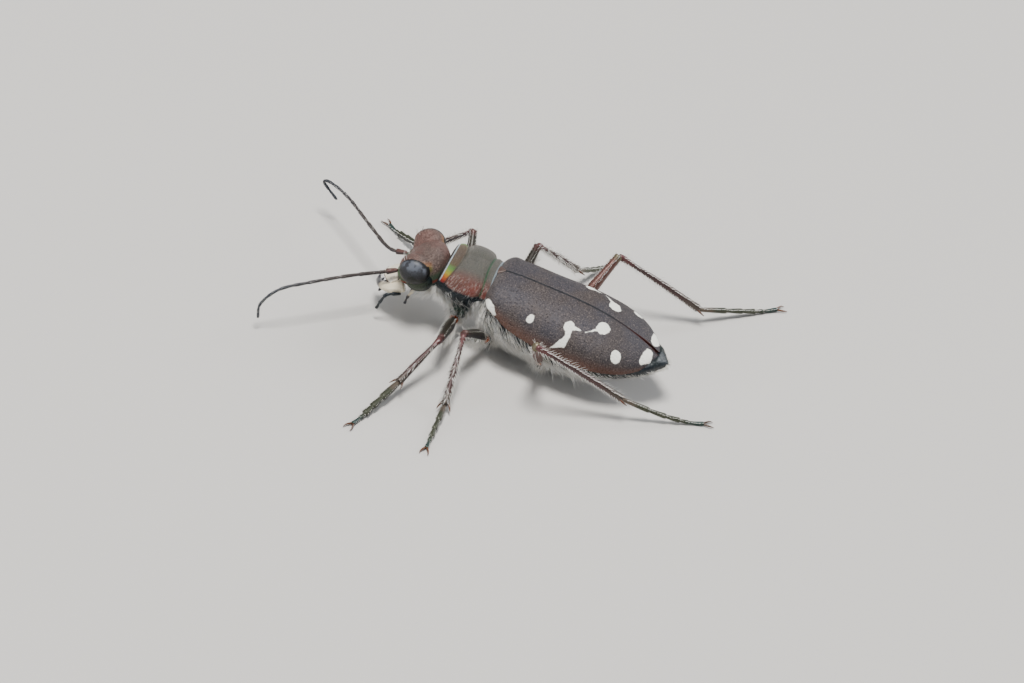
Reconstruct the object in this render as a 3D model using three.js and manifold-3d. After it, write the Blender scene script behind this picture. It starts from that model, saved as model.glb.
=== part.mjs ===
// A life-size tiger beetle, standing high on its front legs with the feelers spread.
// Millimetres. +Z is up, the head looks along -Y, and +X is the beetle's left.
import * as THREE from "three";
import { mergeVertices } from "three/addons/utils/BufferGeometryUtils.js";
import Module from "manifold-3d";

const wasm = await Module();
wasm.setup();

// Driving sizes of the body, in its own frame: x left, y back, z up, from the tip of the scutellum.
const GAP = 0.1; // between neighbouring pieces
const BODY_PITCH = 12; // degrees, head up
const SCUTELLUM_HEIGHT = 3.5; // above the floor
const STAND = { x: -0.13, y: -0.78 }; // where the scutellum stands in the part's frame

const ELYTRA = { front: -0.35, rear: 7.02, shell: 0.4 };
const BELLY = { front: -0.3, split: 2.6, rear: 7.5, inset: 0.22 };
const PRONOTUM = { front: -2.25, rear: -0.42, halfWidth: 1.36 };
const HEAD = { x: 0.06, y: -2.98, z: -1.5, tilt: 40, front: -1.22, rear: 0.92, halfWidth: 1.02 };
const EYE = { x: 1.06, y: -0.1, z: 0.22, size: [0.5, 0.6, 0.58] };
const MANDIBLE = { root: [0.6, -1.2, -0.82], reach: 1.25, thick: 0.27 };
const ANTENNA = { root: [0.62, -1.0, 0.02], thick: 0.21, tip: 0.12, segments: 11 };

// Leg joints in the floor's frame from the scutellum's foot point: x left, y back, z up.
const LEGS = {
  front_left: { hip: [0.52, -1.44, 0.85], knee: [3.26, -1.35, 1.6], ankle: [5.6, -2.2, 0.6], toe: [8.45, -3.1, 0.14] },
  mid_left: { hip: [0.82, 0.13, 0.6], knee: [3.13, -0.5, 2.12], ankle: [5.6, -0.15, 0.32], toe: [8.3, 0.0, 0.14] },
  hind_left: { hip: [1.15, 2.45, 0.6], knee: [3.73, 2.54, 3.23], ankle: [2.19, 6.2, 1.04], toe: [0.65, 9.45, 0.14] },
  front_right: { hip: [-0.52, -1.44, 0.85], knee: [-2.85, -2.15, 2.65], ankle: [-3.2, -3.85, 0.75], toe: [-4.75, -5.9, 0.14] },
  mid_right: { hip: [-0.82, 0.13, 0.6], knee: [-3.0, 0.53, 2.95], ankle: [-5.1, 2.04, 0.9], toe: [-7.3, 2.9, 0.14] },
  hind_right: { hip: [-1.15, 2.45, 0.6], knee: [-4.04, 3.67, 3.04], ankle: [-5.64, 7.17, 0.67], toe: [-8.2, 9.9, 0.14] },
};
const LEG = { coxa: 0.42, femur: 0.3, knee: 0.24, tibia: 0.23, tarsus: 0.21 };

// Feeler routes as steps from the root, in the body's frame.
const FEELERS = {
  left: [
    [0.18, -0.45, -0.29], [1.28, -1.59, -0.48], [2.58, -2.85, -0.77],
    [3.48, -3.73, -1.09], [3.88, -4.12, -1.87], [3.98, -3.94, -2.53],
  ],
  right: [
    [-0.18, -0.78, -0.37], [-1.08, -1.82, -0.59], [-2.38, -3.2, -0.87],
    [-3.18, -4.13, -1.25], [-3.38, -4.42, -1.55], [-3.28, -3.6, -1.95],
  ],
};

// A smooth curve through [place, value] pairs.
function profile(keys) {
  const slope = keys.map((key, i) => {
    const before = keys[Math.max(i - 1, 0)];
    const after = keys[Math.min(i + 1, keys.length - 1)];
    return (after[1] - before[1]) / (after[0] - before[0]);
  });
  return (place) => {
    let i = 0;
    while (i < keys.length - 2 && place > keys[i + 1][0]) i++;
    const span = keys[i + 1][0] - keys[i][0];
    const t = Math.min(Math.max((place - keys[i][0]) / span, 0), 1);
    const t2 = t * t;
    const t3 = t2 * t;
    return (2 * t3 - 3 * t2 + 1) * keys[i][1] + (t3 - 2 * t2 + t) * span * slope[i]
      + (3 * t2 - 2 * t3) * keys[i + 1][1] + (t3 - t2) * span * slope[i + 1];
  };
}

// A closed skin over rings. pointAt(share, angle) gives each point, and both ends close on their centre.
function closedForm(pointAt, around, along) {
  const points = [];
  const faces = [];
  const ring = (i) => 2 + (i - 1) * around;
  for (const share of [0, 1]) {
    const centre = new THREE.Vector3();
    for (let j = 0; j < around; j++) {
      centre.addScaledVector(pointAt(share, (j / around) * 2 * Math.PI), 1 / around);
    }
    points.push(centre);
  }
  for (let i = 1; i < along; i++) {
    for (let j = 0; j < around; j++) points.push(pointAt(i / along, (j / around) * 2 * Math.PI));
  }
  for (let j = 0; j < around; j++) {
    const k = (j + 1) % around;
    faces.push(0, ring(1) + k, ring(1) + j);
    faces.push(1, ring(along - 1) + j, ring(along - 1) + k);
    for (let i = 1; i < along - 1; i++) {
      faces.push(ring(i) + j, ring(i) + k, ring(i + 1) + k);
      faces.push(ring(i) + j, ring(i + 1) + k, ring(i + 1) + j);
    }
  }
  const geometry = new THREE.BufferGeometry();
  geometry.setAttribute("position", new THREE.Float32BufferAttribute(points.flatMap((p) => p.toArray()), 3));
  geometry.setIndex(faces);
  return geometry;
}

function volumeOf(geometry) {
  const [a, b, c] = [new THREE.Vector3(), new THREE.Vector3(), new THREE.Vector3()];
  const place = geometry.getAttribute("position");
  const index = geometry.index.array;
  let sum = 0;
  for (let i = 0; i < index.length; i += 3) {
    a.fromBufferAttribute(place, index[i]);
    b.fromBufferAttribute(place, index[i + 1]);
    c.fromBufferAttribute(place, index[i + 2]);
    sum += a.dot(b.cross(c)) / 6;
  }
  return sum;
}

// A geometry as a solid that can be joined and cut, with its faces turned outwards.
function solid(geometry) {
  const plain = geometry.clone();
  plain.deleteAttribute("normal");
  plain.deleteAttribute("uv");
  const merged = mergeVertices(plain, 1e-4);
  const triVerts = new Uint32Array(merged.index.array);
  if (volumeOf(merged) < 0) triVerts.reverse();
  return new wasm.Manifold(
    new wasm.Mesh({ numProp: 3, vertProperties: merged.attributes.position.array, triVerts }),
  );
}

// The largest closed surface of a solid, as a geometry again.
function geometryOf(made) {
  const largest = made.decompose().sort((a, b) => b.volume() - a.volume())[0];
  const mesh = largest.getMesh();
  const places = [];
  for (let i = 0; i < mesh.vertProperties.length; i += mesh.numProp) {
    places.push(mesh.vertProperties[i], mesh.vertProperties[i + 1], mesh.vertProperties[i + 2]);
  }
  const geometry = new THREE.BufferGeometry();
  geometry.setAttribute("position", new THREE.Float32BufferAttribute(places, 3));
  geometry.setIndex(new THREE.BufferAttribute(mesh.triVerts, 1));
  return geometry;
}

const union = (pieces) => pieces.reduce((whole, piece) => whole.add(piece));

// A block between two corners, for straight cuts.
function block(low, high) {
  const size = high.map((h, i) => h - low[i]);
  const box = new THREE.BoxGeometry(...size);
  box.translate(...high.map((h, i) => (h + low[i]) / 2));
  return solid(box);
}

// A limb along a curve, whose radius at each share of the length comes from radiusAt.
function limb(curve, radiusAt, around, along) {
  const frames = curve.computeFrenetFrames(along, false);
  return closedForm((share, angle) => {
    const i = Math.round(share * along);
    const radius = radiusAt(share);
    return curve.getPointAt(share)
      .addScaledVector(frames.normals[i], radius * Math.cos(angle))
      .addScaledVector(frames.binormals[i], radius * Math.sin(angle));
  }, around, along);
}

const vector = (p) => new THREE.Vector3(...p);
const curveThrough = (points) => new THREE.CatmullRomCurve3(points);

// A rounded radius profile: full between its ends, which close over a short share.
const roundEnds = (share, radius, cap) => {
  const near = Math.min(share, 1 - share, cap) / cap;
  return radius * Math.sqrt(Math.max(1 - (1 - near) ** 2, 0));
};

const power = (value, exponent) => Math.sign(value) * Math.abs(value) ** exponent;

// Body sections: half width and the heights of crest, edge and keel at each place along the body.
const elytraWidth = profile(
  [[-0.35, 0.9], [-0.1, 1.5], [0.6, 1.8], [2.2, 2.0], [4.2, 2.15], [5.4, 1.98], [6.3, 1.45], [6.8, 0.8], [7.02, 0.25]],
);
const elytraCrest = profile(
  [[-0.35, -0.15], [0.1, 0.0], [1.8, 0.32], [3.4, 0.52], [4.5, 0.55], [5.5, 0.45], [6.4, 0.27], [7.02, 0.06]],
);
const elytraEdge = profile(
  [[-0.35, -0.7], [0.1, -0.82], [1.0, -1.08], [2.3, -1.15], [3.6, -1.03], [5.3, -0.66], [6.6, -0.3], [7.02, -0.12]],
);
const keel = profile(
  [[-0.3, -2.2], [0.5, -2.6], [1.8, -2.62], [3.4, -2.3], [5.3, -1.75], [6.4, -1.2], [7.1, -0.6], [7.5, -0.2]],
);

// The dome under the wing cases' outer face, taken in by a depth on every side.
function dome(depth, floorLevel) {
  const from = ELYTRA.front + depth * 0.4;
  const to = ELYTRA.rear - depth * 0.9;
  return closedForm((share, angle) => {
    const y = from + (to - from) * (0.5 - 0.5 * Math.cos(Math.PI * share));
    const end = Math.min(share, 1 - share) < 1e-6;
    const width = end ? 0.02 : Math.max(elytraWidth(y) - depth, 0.05);
    const base = elytraEdge(y) - floorLevel;
    const height = end ? 0.02 : Math.max(elytraCrest(y) - depth - base, 0.05);
    const rise = Math.sin(angle) > 0 ? power(Math.sin(angle), 0.86) * height : 0.18 * Math.sin(angle);
    return new THREE.Vector3(width * power(Math.cos(angle), 0.8), y, base + rise);
  }, 32, 24);
}

// The body below the wing cases' edges, with a shallow step at each belly ring.
function underside(depth) {
  const rings = 6;
  return closedForm((share, angle) => {
    const y = BELLY.front + depth + (BELLY.rear - BELLY.front - 2 * depth) * (0.5 - 0.5 * Math.cos(Math.PI * share));
    const tail = Math.max((y - BELLY.split) / (BELLY.rear - BELLY.split), 0);
    const step = tail > 0 ? 0.05 * ((tail * rings) % 1) : 0;
    const rear = Math.sqrt(Math.max(1 - Math.max((y - 5.9) / (BELLY.rear - 5.85), 0) ** 2, 0.01));
    const front = Math.sqrt(Math.max(1 - Math.max((0.35 - y) / 0.75, 0) ** 2, 0.05));
    const width = Math.max(Math.min(elytraWidth(y) - BELLY.inset, 1.95) * 1, 0.3 + 1.1 * rear) * rear * front - depth - step;
    const top = elytraEdge(y) + 0.3 - depth;
    const bottom = keel(y) + step + depth;
    const middle = elytraEdge(y) - 0.12;
    const height = Math.sin(angle) > 0 ? (top - middle) * rear : middle - bottom;
    return new THREE.Vector3(Math.max(width, 0.05) * power(Math.cos(angle), 0.85), y, middle + height * power(Math.sin(angle), 0.9));
  }, 26, 30);
}

const shellCore = () => solid(dome(ELYTRA.shell + 1.6 * GAP, 0));
const lowerBody = () => solid(underside(0));

function elytron(side) {
  const outer = solid(dome(0, 0));
  const room = solid(dome(ELYTRA.shell, 0.3)).add(solid(underside(-GAP)));
  const half = side > 0 ? block([GAP / 2, -2, -4], [4, 9, 2]) : block([-4, -2, -4], [-GAP / 2, 9, 2]);
  return outer.subtract(room).subtract(scutellumRoom()).intersect(half);
}

// The small triangle between the wing cases' bases.
function scutellumForm(margin) {
  const outline = new THREE.Shape();
  outline.moveTo(-0.5 - margin, -0.4 - margin);
  outline.lineTo(0.5 + margin, -0.4 - margin);
  outline.lineTo(0.1 + margin, 0.28 + margin);
  outline.lineTo(-0.1 - margin, 0.28 + margin);
  const plate = new THREE.ExtrudeGeometry(outline, { depth: 0.55 + 2 * margin, bevelEnabled: false });
  plate.translate(0, 0, -0.53 - margin);
  return plate;
}
const scutellumRoom = () => solid(scutellumForm(GAP));
const scutellum = () => solid(scutellumForm(0)).intersect(solid(dome(-0.03, 0)));

// The plate and flanks of the prothorax, with its two cross grooves.
function prothorax(margin) {
  const width = profile([[0, 1.0], [0.06, 1.16], [0.3, PRONOTUM.halfWidth], [0.7, 1.32], [0.88, 1.14], [1, 1.1]]);
  const crest = profile([[0, -0.55], [0.14, -0.42], [0.4, -0.12], [0.7, -0.02], [0.9, -0.1], [1, -0.14]]);
  const groove = (share, place) => 0.09 * Math.exp(-(((share - place) / 0.045) ** 2));
  return closedForm((share, angle) => {
    const cap = Math.sqrt(Math.max(1 - (1 - Math.min(share, 1 - share, 0.05) / 0.05) ** 2, 0.72));
    const y = PRONOTUM.front + (PRONOTUM.rear - PRONOTUM.front) * share;
    const dip = groove(share, 0.2) + groove(share, 0.86);
    const top = crest(share) - dip;
    const bottom = -1.98 - 0.35 * share;
    const middle = -1.05 - 0.1 * share;
    const height = Math.sin(angle) > 0 ? top - middle : middle - bottom;
    const half = (width(share) - dip) * cap + margin;
    const rise = (cap * height + margin) * power(Math.sin(angle), 0.92);
    return new THREE.Vector3(half * power(Math.cos(angle), 0.86), y + margin * (2 * share - 1), middle + rise);
  }, 26, 20);
}

// The head capsule in its own frame: broad between the eyes, narrower at the neck and the face.
function headForm(margin) {
  const width = profile([[0, 0.55], [0.1, 0.78], [0.35, 0.98], [0.6, HEAD.halfWidth], [0.85, 0.88], [1, 0.62]]);
  const top = profile([[0, -0.12], [0.12, 0.14], [0.35, 0.46], [0.6, 0.64], [0.85, 0.6], [1, 0.36]]);
  const bottom = profile([[0, -0.6], [0.2, -0.88], [0.55, -1.08], [0.8, -1.0], [1, -0.75]]);
  return closedForm((share, angle) => {
    const cap = Math.sqrt(Math.max(1 - (1 - Math.min(share, 1 - share, 0.12) / 0.12) ** 2, 0.35));
    const y = HEAD.front - margin + (HEAD.rear - HEAD.front + 2 * margin) * share;
    const middle = -0.12;
    const height = Math.sin(angle) > 0 ? top(share) - middle + margin : middle - bottom(share) + margin;
    return new THREE.Vector3((width(share) + margin) * cap * power(Math.cos(angle), 0.82), y, middle + cap * height * power(Math.sin(angle), 0.9));
  }, 26, 18);
}

function eyeForm(side, margin) {
  const ball = new THREE.SphereGeometry(1, 18, 12);
  ball.scale(...EYE.size.map((s) => s + margin));
  ball.translate(side * EYE.x, EYE.y, EYE.z);
  return solid(ball);
}
const head = () => solid(headForm(0)).subtract(eyeForm(1, GAP)).subtract(eyeForm(-1, GAP));
const eye = (side) => eyeForm(side, 0);

// The upper lip, a short plate with one blunt tooth in the middle of its edge.
function labrum() {
  const outline = new THREE.Shape();
  outline.moveTo(-0.4, 0.2);
  outline.quadraticCurveTo(-0.86, -0.12, -0.4, -0.2);
  outline.lineTo(-0.12, -0.22);
  outline.lineTo(0, -0.36);
  outline.lineTo(0.12, -0.22);
  outline.lineTo(0.4, -0.2);
  outline.quadraticCurveTo(0.86, -0.12, 0.4, 0.2);
  const plate = new THREE.ExtrudeGeometry(outline, { depth: 0.3, bevelEnabled: true, bevelThickness: 0.08, bevelSize: 0.06, bevelSegments: 1, curveSegments: 5 });
  plate.rotateX(THREE.MathUtils.degToRad(16));
  plate.translate(0, HEAD.front - GAP - 0.32, -0.42);
  return solid(plate);
}

// A sickle jaw with three inner teeth. The two cross in front of the lip, left over right.
function mandible(side) {
  const [x, y, z] = MANDIBLE.root;
  const lift = side > 0 ? 0.08 : -0.38;
  const reach = MANDIBLE.reach;
  const curve = curveThrough([
    [side * x, y + 0.1, z], [side * (x + 0.16), y - 0.35 * reach, z + lift * 0.4],
    [side * (x - 0.02), y - 0.72 * reach, z + lift], [side * (x - 0.42), y - reach, z + lift],
    [side * (x - 0.92), y - 1.12 * reach, z + lift],
  ].map(vector));
  const radius = profile([[0, 0.24], [0.2, MANDIBLE.thick], [0.6, 0.22], [1, 0.09]]);
  const pieces = [solid(limb(curve, (share) => roundEnds(share, radius(share), 0.08), 10, 14))];
  for (const share of [0.42, 0.56, 0.7]) {
    const root = curve.getPointAt(share);
    const inward = new THREE.Vector3(-side * 0.42, 0.1, 0);
    const spike = curveThrough([root, root.clone().addScaledVector(inward, 0.5), root.clone().add(inward)]);
    pieces.push(solid(limb(spike, (s) => roundEnds(s, 0.14 - 0.09 * s, 0.15), 6, 4)));
  }
  return union(pieces);
}

// A feeler-like mouth palp of plain segments, each swelling towards its end.
function palp(points, thick, segments) {
  const curve = curveThrough(points.map(vector));
  return solid(limb(curve, (share) => {
    const swell = 0.86 + 0.2 * Math.sin(Math.PI * Math.min((share * segments) % 1, 0.999)) ** 2;
    return roundEnds(share, thick * swell, 0.06);
  }, 8, segments * 4));
}
// Palp routes: the outer pair in the body's frame, the inner pair in the head's.
const PALPS = {
  maxillary: {
    thick: 0.17,
    segments: 4,
    route: (s) => [[s * 1.12, -3.24, -2.92], [s * 1.36, -3.7, -3.0], [s * 1.4, -3.78, -3.42], [s * 1.38, -3.8, -3.85]],
  },
  labial: {
    thick: 0.18,
    segments: 3,
    route: (s) => [[s * 0.27, -0.78, -1.2], [s * 0.32, -1.12, -1.42], [s * 0.36, -1.35, -1.72]],
  },
};

const floorFrame = new THREE.Group();
floorFrame.position.set(STAND.x, STAND.y, 0);
const bodyFrame = new THREE.Group();
bodyFrame.position.set(0, 0, SCUTELLUM_HEIGHT);
bodyFrame.rotation.x = THREE.MathUtils.degToRad(-BODY_PITCH);
const headFrame = new THREE.Group();
headFrame.position.set(HEAD.x, HEAD.y, HEAD.z);
headFrame.rotation.x = THREE.MathUtils.degToRad(HEAD.tilt);
floorFrame.add(bodyFrame);
bodyFrame.add(headFrame);
floorFrame.updateMatrixWorld(true);

function antenna(name) {
  const side = name === "left" ? 1 : -1;
  const root = vector([side * ANTENNA.root[0], ...ANTENNA.root.slice(1)]).applyMatrix4(headFrame.matrix);
  const curve = curveThrough([root, ...FEELERS[name].map((step) => root.clone().add(vector(step)))]);
  return solid(limb(curve, (share) => {
    const place = share * ANTENNA.segments;
    const knot = place < 1 ? 1.12 : 0.92 + 0.16 * (place % 1);
    const radius = (ANTENNA.thick + (ANTENNA.tip - ANTENNA.thick) * share) * knot;
    return roundEnds(share, radius, 0.03);
  }, 7, ANTENNA.segments * 3));
}

const lineThrough = (from, to, bow) => {
  const middle = from.clone().lerp(to, 0.5);
  middle.z += bow;
  return curveThrough([from, middle, to]);
};

// A point short of one joint on the way to the next, so that leg pieces end face to face.
const short = (from, to, distance) => from.clone().add(to.clone().sub(from).setLength(distance));

// A hip is the convex wrap of a short bent limb, so its inner bend stays clean.
function coxa(leg, margin) {
  const hip = vector(leg.hip);
  const knee = vector(leg.knee);
  const root = hip.clone().add(new THREE.Vector3(-Math.sign(hip.x) * 0.1, 0.12, 0.75));
  const end = short(hip, knee, 0.22);
  const curve = curveThrough([root, root.clone().lerp(hip, 0.55), hip, end]);
  const radius = profile([[0, 0.42], [0.4, LEG.coxa - 0.02], [0.75, 0.3], [1, 0.22]]);
  return solid(limb(curve, (share) => roundEnds(share, radius(share) + margin, 0.1), 10, 8)).hull();
}

function femur(leg) {
  const hip = vector(leg.hip);
  const knee = vector(leg.knee);
  const curve = lineThrough(short(hip, knee, 0.3 + 2.2 * GAP), short(knee, hip, GAP / 2), 0.04);
  const radius = profile([[0, 0.25], [0.3, LEG.femur], [0.8, 0.25], [1, LEG.knee]]);
  return solid(limb(curve, (share) => roundEnds(share, radius(share), 0.07), 9, 10));
}

// The shin, with its two spurs at the ankle.
function tibia(leg) {
  const knee = vector(leg.knee);
  const ankle = vector(leg.ankle);
  const start = short(knee, ankle, LEG.knee);
  const end = short(ankle, knee, GAP / 2);
  const radius = profile([[0, 0.2], [0.15, 0.22], [0.8, LEG.tibia], [1, 0.25]]);
  const pieces = [solid(limb(lineThrough(start, end, 0.03), (share) => roundEnds(share, radius(share), 0.06), 9, 9))];
  const along = ankle.clone().sub(knee).normalize();
  const across = along.clone().cross(new THREE.Vector3(0, 0, 1)).normalize();
  for (const side of [1, -1]) {
    const root = end.clone().addScaledVector(along, -0.22).addScaledVector(across, side * 0.12);
    const tip = end.clone().addScaledVector(along, 0.2).addScaledVector(across, side * 0.38);
    tip.z += 0.05;
    pieces.push(solid(limb(lineThrough(root, tip, 0), (s) => roundEnds(s, 0.12 - 0.07 * s, 0.15), 6, 4)));
  }
  return union(pieces);
}

// Five foot segments with two claws, worn flat where they meet the floor.
function tarsus(leg) {
  const ankle = vector(leg.ankle);
  const toe = vector(leg.toe);
  const start = short(ankle, toe, GAP);
  const sag = new THREE.Vector3(0, 0, -0.3 * Math.max(ankle.z - 0.35, 0));
  const near = ankle.clone().lerp(toe, 0.45).add(sag);
  const flatZ = LEG.tarsus * 0.54;
  const late = ankle.clone().lerp(toe, 0.8);
  late.z = flatZ;
  toe.z = LEG.tarsus * 0.46;
  near.z = Math.max(near.z, flatZ + 0.05);
  const curve = curveThrough([start, near, late, toe]);
  const pieces = [solid(limb(curve, (share) => {
    const place = share * 5;
    const swell = 0.86 + 0.22 * Math.min(place % 1, 0.9);
    return roundEnds(share, (LEG.tarsus + 0.02 - 0.06 * share) * swell, 0.04);
  }, 8, 15))];
  const along = toe.clone().sub(late).setZ(0).normalize();
  const across = new THREE.Vector3(-along.y, along.x, 0);
  for (const side of [1, -1]) {
    const root = toe.clone().addScaledVector(along, -0.12).addScaledVector(across, side * 0.04);
    const bend = toe.clone().addScaledVector(along, 0.2).addScaledVector(across, side * 0.2);
    const tip = toe.clone().addScaledVector(along, 0.42).addScaledVector(across, side * 0.24).setZ(0.05);
    pieces.push(solid(limb(curveThrough([root, bend, tip]), (s) => roundEnds(s, 0.11 - 0.06 * s, 0.15), 6, 5)));
  }
  return union(pieces).subtract(block([-12, -12, -1], [12, 12, 0]));
}

const PAINT = {
  elytra: { color: "#5a4a44", roughness: 0.6, metalness: 0.1 },
  bronze: { color: "#7a5145", roughness: 0.5, metalness: 0.45 },
  eye: { color: "#2b2c30", roughness: 0.25, metalness: 0.1 },
  ivory: { color: "#e6dcc2", roughness: 0.5, metalness: 0.0 },
  jaw: { color: "#17181c", roughness: 0.3, metalness: 0.2 },
  belly: { color: "#16242b", roughness: 0.4, metalness: 0.5 },
  leg: { color: "#6a3f44", roughness: 0.45, metalness: 0.35 },
  foot: { color: "#4c5a48", roughness: 0.5, metalness: 0.3 },
  feeler: { color: "#3c3532", roughness: 0.6, metalness: 0.2 },
};

function add(frame, name, made, paint) {
  const mesh = new THREE.Mesh(geometryOf(made), new THREE.MeshStandardMaterial(PAINT[paint]));
  mesh.name = name;
  frame.add(mesh);
}

// Moves a solid made in the floor's frame into another frame's own coordinates, or back.
const moved = (made, matrix) => made.transform(matrix.elements);
const floorToBody = bodyFrame.matrixWorld.clone().invert().multiply(floorFrame.matrixWorld);
const bodyToFloor = floorToBody.clone().invert();
const headToBody = headFrame.matrix.clone();
const bodyToHead = headToBody.clone().invert();

// The head stops short of the prothorax, and the prothorax takes the neck's round end.
const capsule = head().subtract(moved(solid(prothorax(GAP)), bodyToHead));
add(headFrame, "head", capsule, "bronze");
add(headFrame, "labrum", labrum(), "ivory");
for (const [side, word] of [[1, "left"], [-1, "right"]]) {
  add(headFrame, `eye_${word}`, eye(side).subtract(solid(headForm(-0.02))), "eye");
  add(headFrame, `mandible_${word}`, mandible(side), "jaw");
  for (const [kind, spec] of Object.entries(PALPS)) {
    const frame = kind === "maxillary" ? bodyFrame : headFrame;
    add(frame, `palp_${kind}_${word}`, palp(spec.route(side), spec.thick, spec.segments), "jaw");
  }
  add(bodyFrame, `antenna_${word}`, antenna(word), "feeler");
}

const sockets = union(Object.values(LEGS).map((leg) => moved(coxa(leg, GAP), floorToBody)));
add(bodyFrame, "pronotum", solid(prothorax(0)).subtract(sockets), "bronze");
add(bodyFrame, "scutellum", scutellum(), "bronze");
add(bodyFrame, "elytron_left", elytron(1), "elytra");
add(bodyFrame, "elytron_right", elytron(-1), "elytra");

const trunk = shellCore().add(lowerBody()).subtract(scutellumRoom()).subtract(sockets);
add(bodyFrame, "thorax", trunk.intersect(block([-4, -2, -4], [4, BELLY.split - GAP / 2, 2])), "belly");
add(bodyFrame, "abdomen", trunk.intersect(block([-4, BELLY.split + GAP / 2, -4], [4, 9, 2])), "belly");

const breast = moved(solid(underside(-GAP)), bodyToFloor).add(moved(solid(prothorax(GAP)), bodyToFloor));
const wingCases = moved(solid(dome(-GAP, 0.1)), bodyToFloor);
for (const [name, leg] of Object.entries(LEGS)) {
  add(floorFrame, `coxa_${name}`, coxa(leg, 0), "belly");
  add(floorFrame, `femur_${name}`, femur(leg).subtract(breast).subtract(wingCases), "leg");
  add(floorFrame, `tibia_${name}`, tibia(leg), "leg");
  add(floorFrame, `tarsus_${name}`, tarsus(leg), "foot");
}

const beetle = new THREE.Group();
beetle.add(floorFrame);
export default beetle;
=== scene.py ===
import math

import bpy
import numpy as np
from mathutils import Matrix, Vector


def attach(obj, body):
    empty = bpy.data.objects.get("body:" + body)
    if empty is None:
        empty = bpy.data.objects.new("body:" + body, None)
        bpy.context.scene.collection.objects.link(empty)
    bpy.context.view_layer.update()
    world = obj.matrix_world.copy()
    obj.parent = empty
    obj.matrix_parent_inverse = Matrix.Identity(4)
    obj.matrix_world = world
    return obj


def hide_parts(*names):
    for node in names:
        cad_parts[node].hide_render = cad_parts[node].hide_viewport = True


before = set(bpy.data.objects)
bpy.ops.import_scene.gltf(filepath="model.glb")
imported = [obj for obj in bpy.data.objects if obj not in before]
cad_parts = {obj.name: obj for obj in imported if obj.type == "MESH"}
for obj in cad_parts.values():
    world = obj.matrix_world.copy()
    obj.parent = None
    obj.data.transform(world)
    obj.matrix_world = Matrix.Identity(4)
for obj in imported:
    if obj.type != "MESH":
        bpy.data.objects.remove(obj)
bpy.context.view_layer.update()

mm = 0.001
draw = np.random.default_rng(41)

# How the beetle stands: the scutellum tip over the floor, with the head raised.
stance = {"x": -0.13, "y": -0.78, "height": 3.5, "pitch": 12.0}


# lengths are in millimetres until a mesh is made
def frameMatrix(place, tilt):
    return np.array(Matrix.Translation(place) @ Matrix.Rotation(math.radians(tilt), 4, "X"))


bodyFrame = frameMatrix((stance["x"], stance["y"], stance["height"]), -stance["pitch"])
floorFrame = frameMatrix((stance["x"], stance["y"], 0.0), 0.0)


def placed(matrix, points):
    return np.asarray(points, float) @ matrix[:3, :3].T + matrix[:3, 3]


def turned(matrix, direction):
    return np.asarray(direction, float) @ matrix[:3, :3].T


def profile(*keys):  # a smooth curve through (place, value) pairs
    x, y = np.array(keys, float).T
    slope = np.gradient(y, x)

    def at(s):
        s = np.asarray(s, float)
        i = np.clip(np.searchsorted(x, s, side="right") - 1, 0, len(x) - 2)
        h = x[i + 1] - x[i]
        t = np.clip((s - x[i]) / h, 0, 1)
        return ((2 * t**3 - 3 * t**2 + 1) * y[i] + (t**3 - 2 * t**2 + t) * h * slope[i]
                + (3 * t**2 - 2 * t**3) * y[i + 1] + (t**3 - t**2) * h * slope[i + 1])
    return at


def bend(value, exponent):
    return np.sign(value) * np.abs(value) ** exponent


def hump(s, centre, width):
    return np.exp(-(((s - centre) / width) ** 2))


# grids of points made into closed pieces
def newPart():
    return {"verts": [], "faces": [], "coords": [], "slots": [], "count": 0}


def addGrid(part, rings, coordAt, slot=0, strip=False):
    along, around = rings.shape[:2]
    local = np.concatenate([rings.reshape(-1, 3), rings[0].mean(0)[None], rings[-1].mean(0)[None]])
    i, j = (g.ravel() for g in np.meshgrid(np.arange(along - 1), np.arange(around), indexing="ij"))
    k = (j + 1) % around
    quads = np.stack([i * around + j, i * around + k, (i + 1) * around + k, (i + 1) * around + j], 1)
    quadCoords = coordAt(np.stack([i, i, i + 1, i + 1], 1), np.stack([j, j + 1, j + 1, j], 1))
    n, last = along * around, (along - 1) * around
    if strip:  # a thin shell: its ends close between the outer and the inner half of the loop
        j = np.arange(around // 2 - 1)
        cols = [np.stack([j + 1, j, around - 1 - j, around - 2 - j], 1),
                np.stack([j, j + 1, around - 2 - j, around - 1 - j], 1)]
        ends = [cols[0], last + cols[1]]
        local = local[:n]
    else:
        j = np.arange(around)
        k = (j + 1) % around
        cols = [np.stack([j + 0.5, j + 1, j], 1), np.stack([j + 0.5, j, j + 1], 1)]
        ends = [np.stack([np.full(around, n), k, j], 1),
                np.stack([np.full(around, n + 1), last + j, last + k], 1)]
    rows = [np.zeros(cols[0].shape, int), np.full(cols[1].shape, along - 1)]
    faces = [(quads, quadCoords)] + [(e, coordAt(r, c)) for e, r, c in zip(ends, rows, cols)]
    centre = local.mean(0)
    volume = 0.0  # its sign tells whether the faces look outward
    for f, _ in faces:
        p = local[f] - centre
        for m in range(2, f.shape[1]):
            volume += np.einsum("ij,ij->i", p[:, 0], np.cross(p[:, m - 1], p[:, m])).sum()
    for f, c in faces:
        if volume < 0:
            f, c = f[:, ::-1], c[:, ::-1]
        part["faces"] += (f + part["count"]).tolist()
        part["coords"].append(c.reshape(-1, c.shape[-1]))
        part["slots"] += [slot] * len(f)
    part["verts"].append(local)
    part["count"] += len(local)


def addThing(name, data):
    thing = bpy.data.objects.new(name, data)
    bpy.context.scene.collection.objects.link(thing)
    return thing


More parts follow.
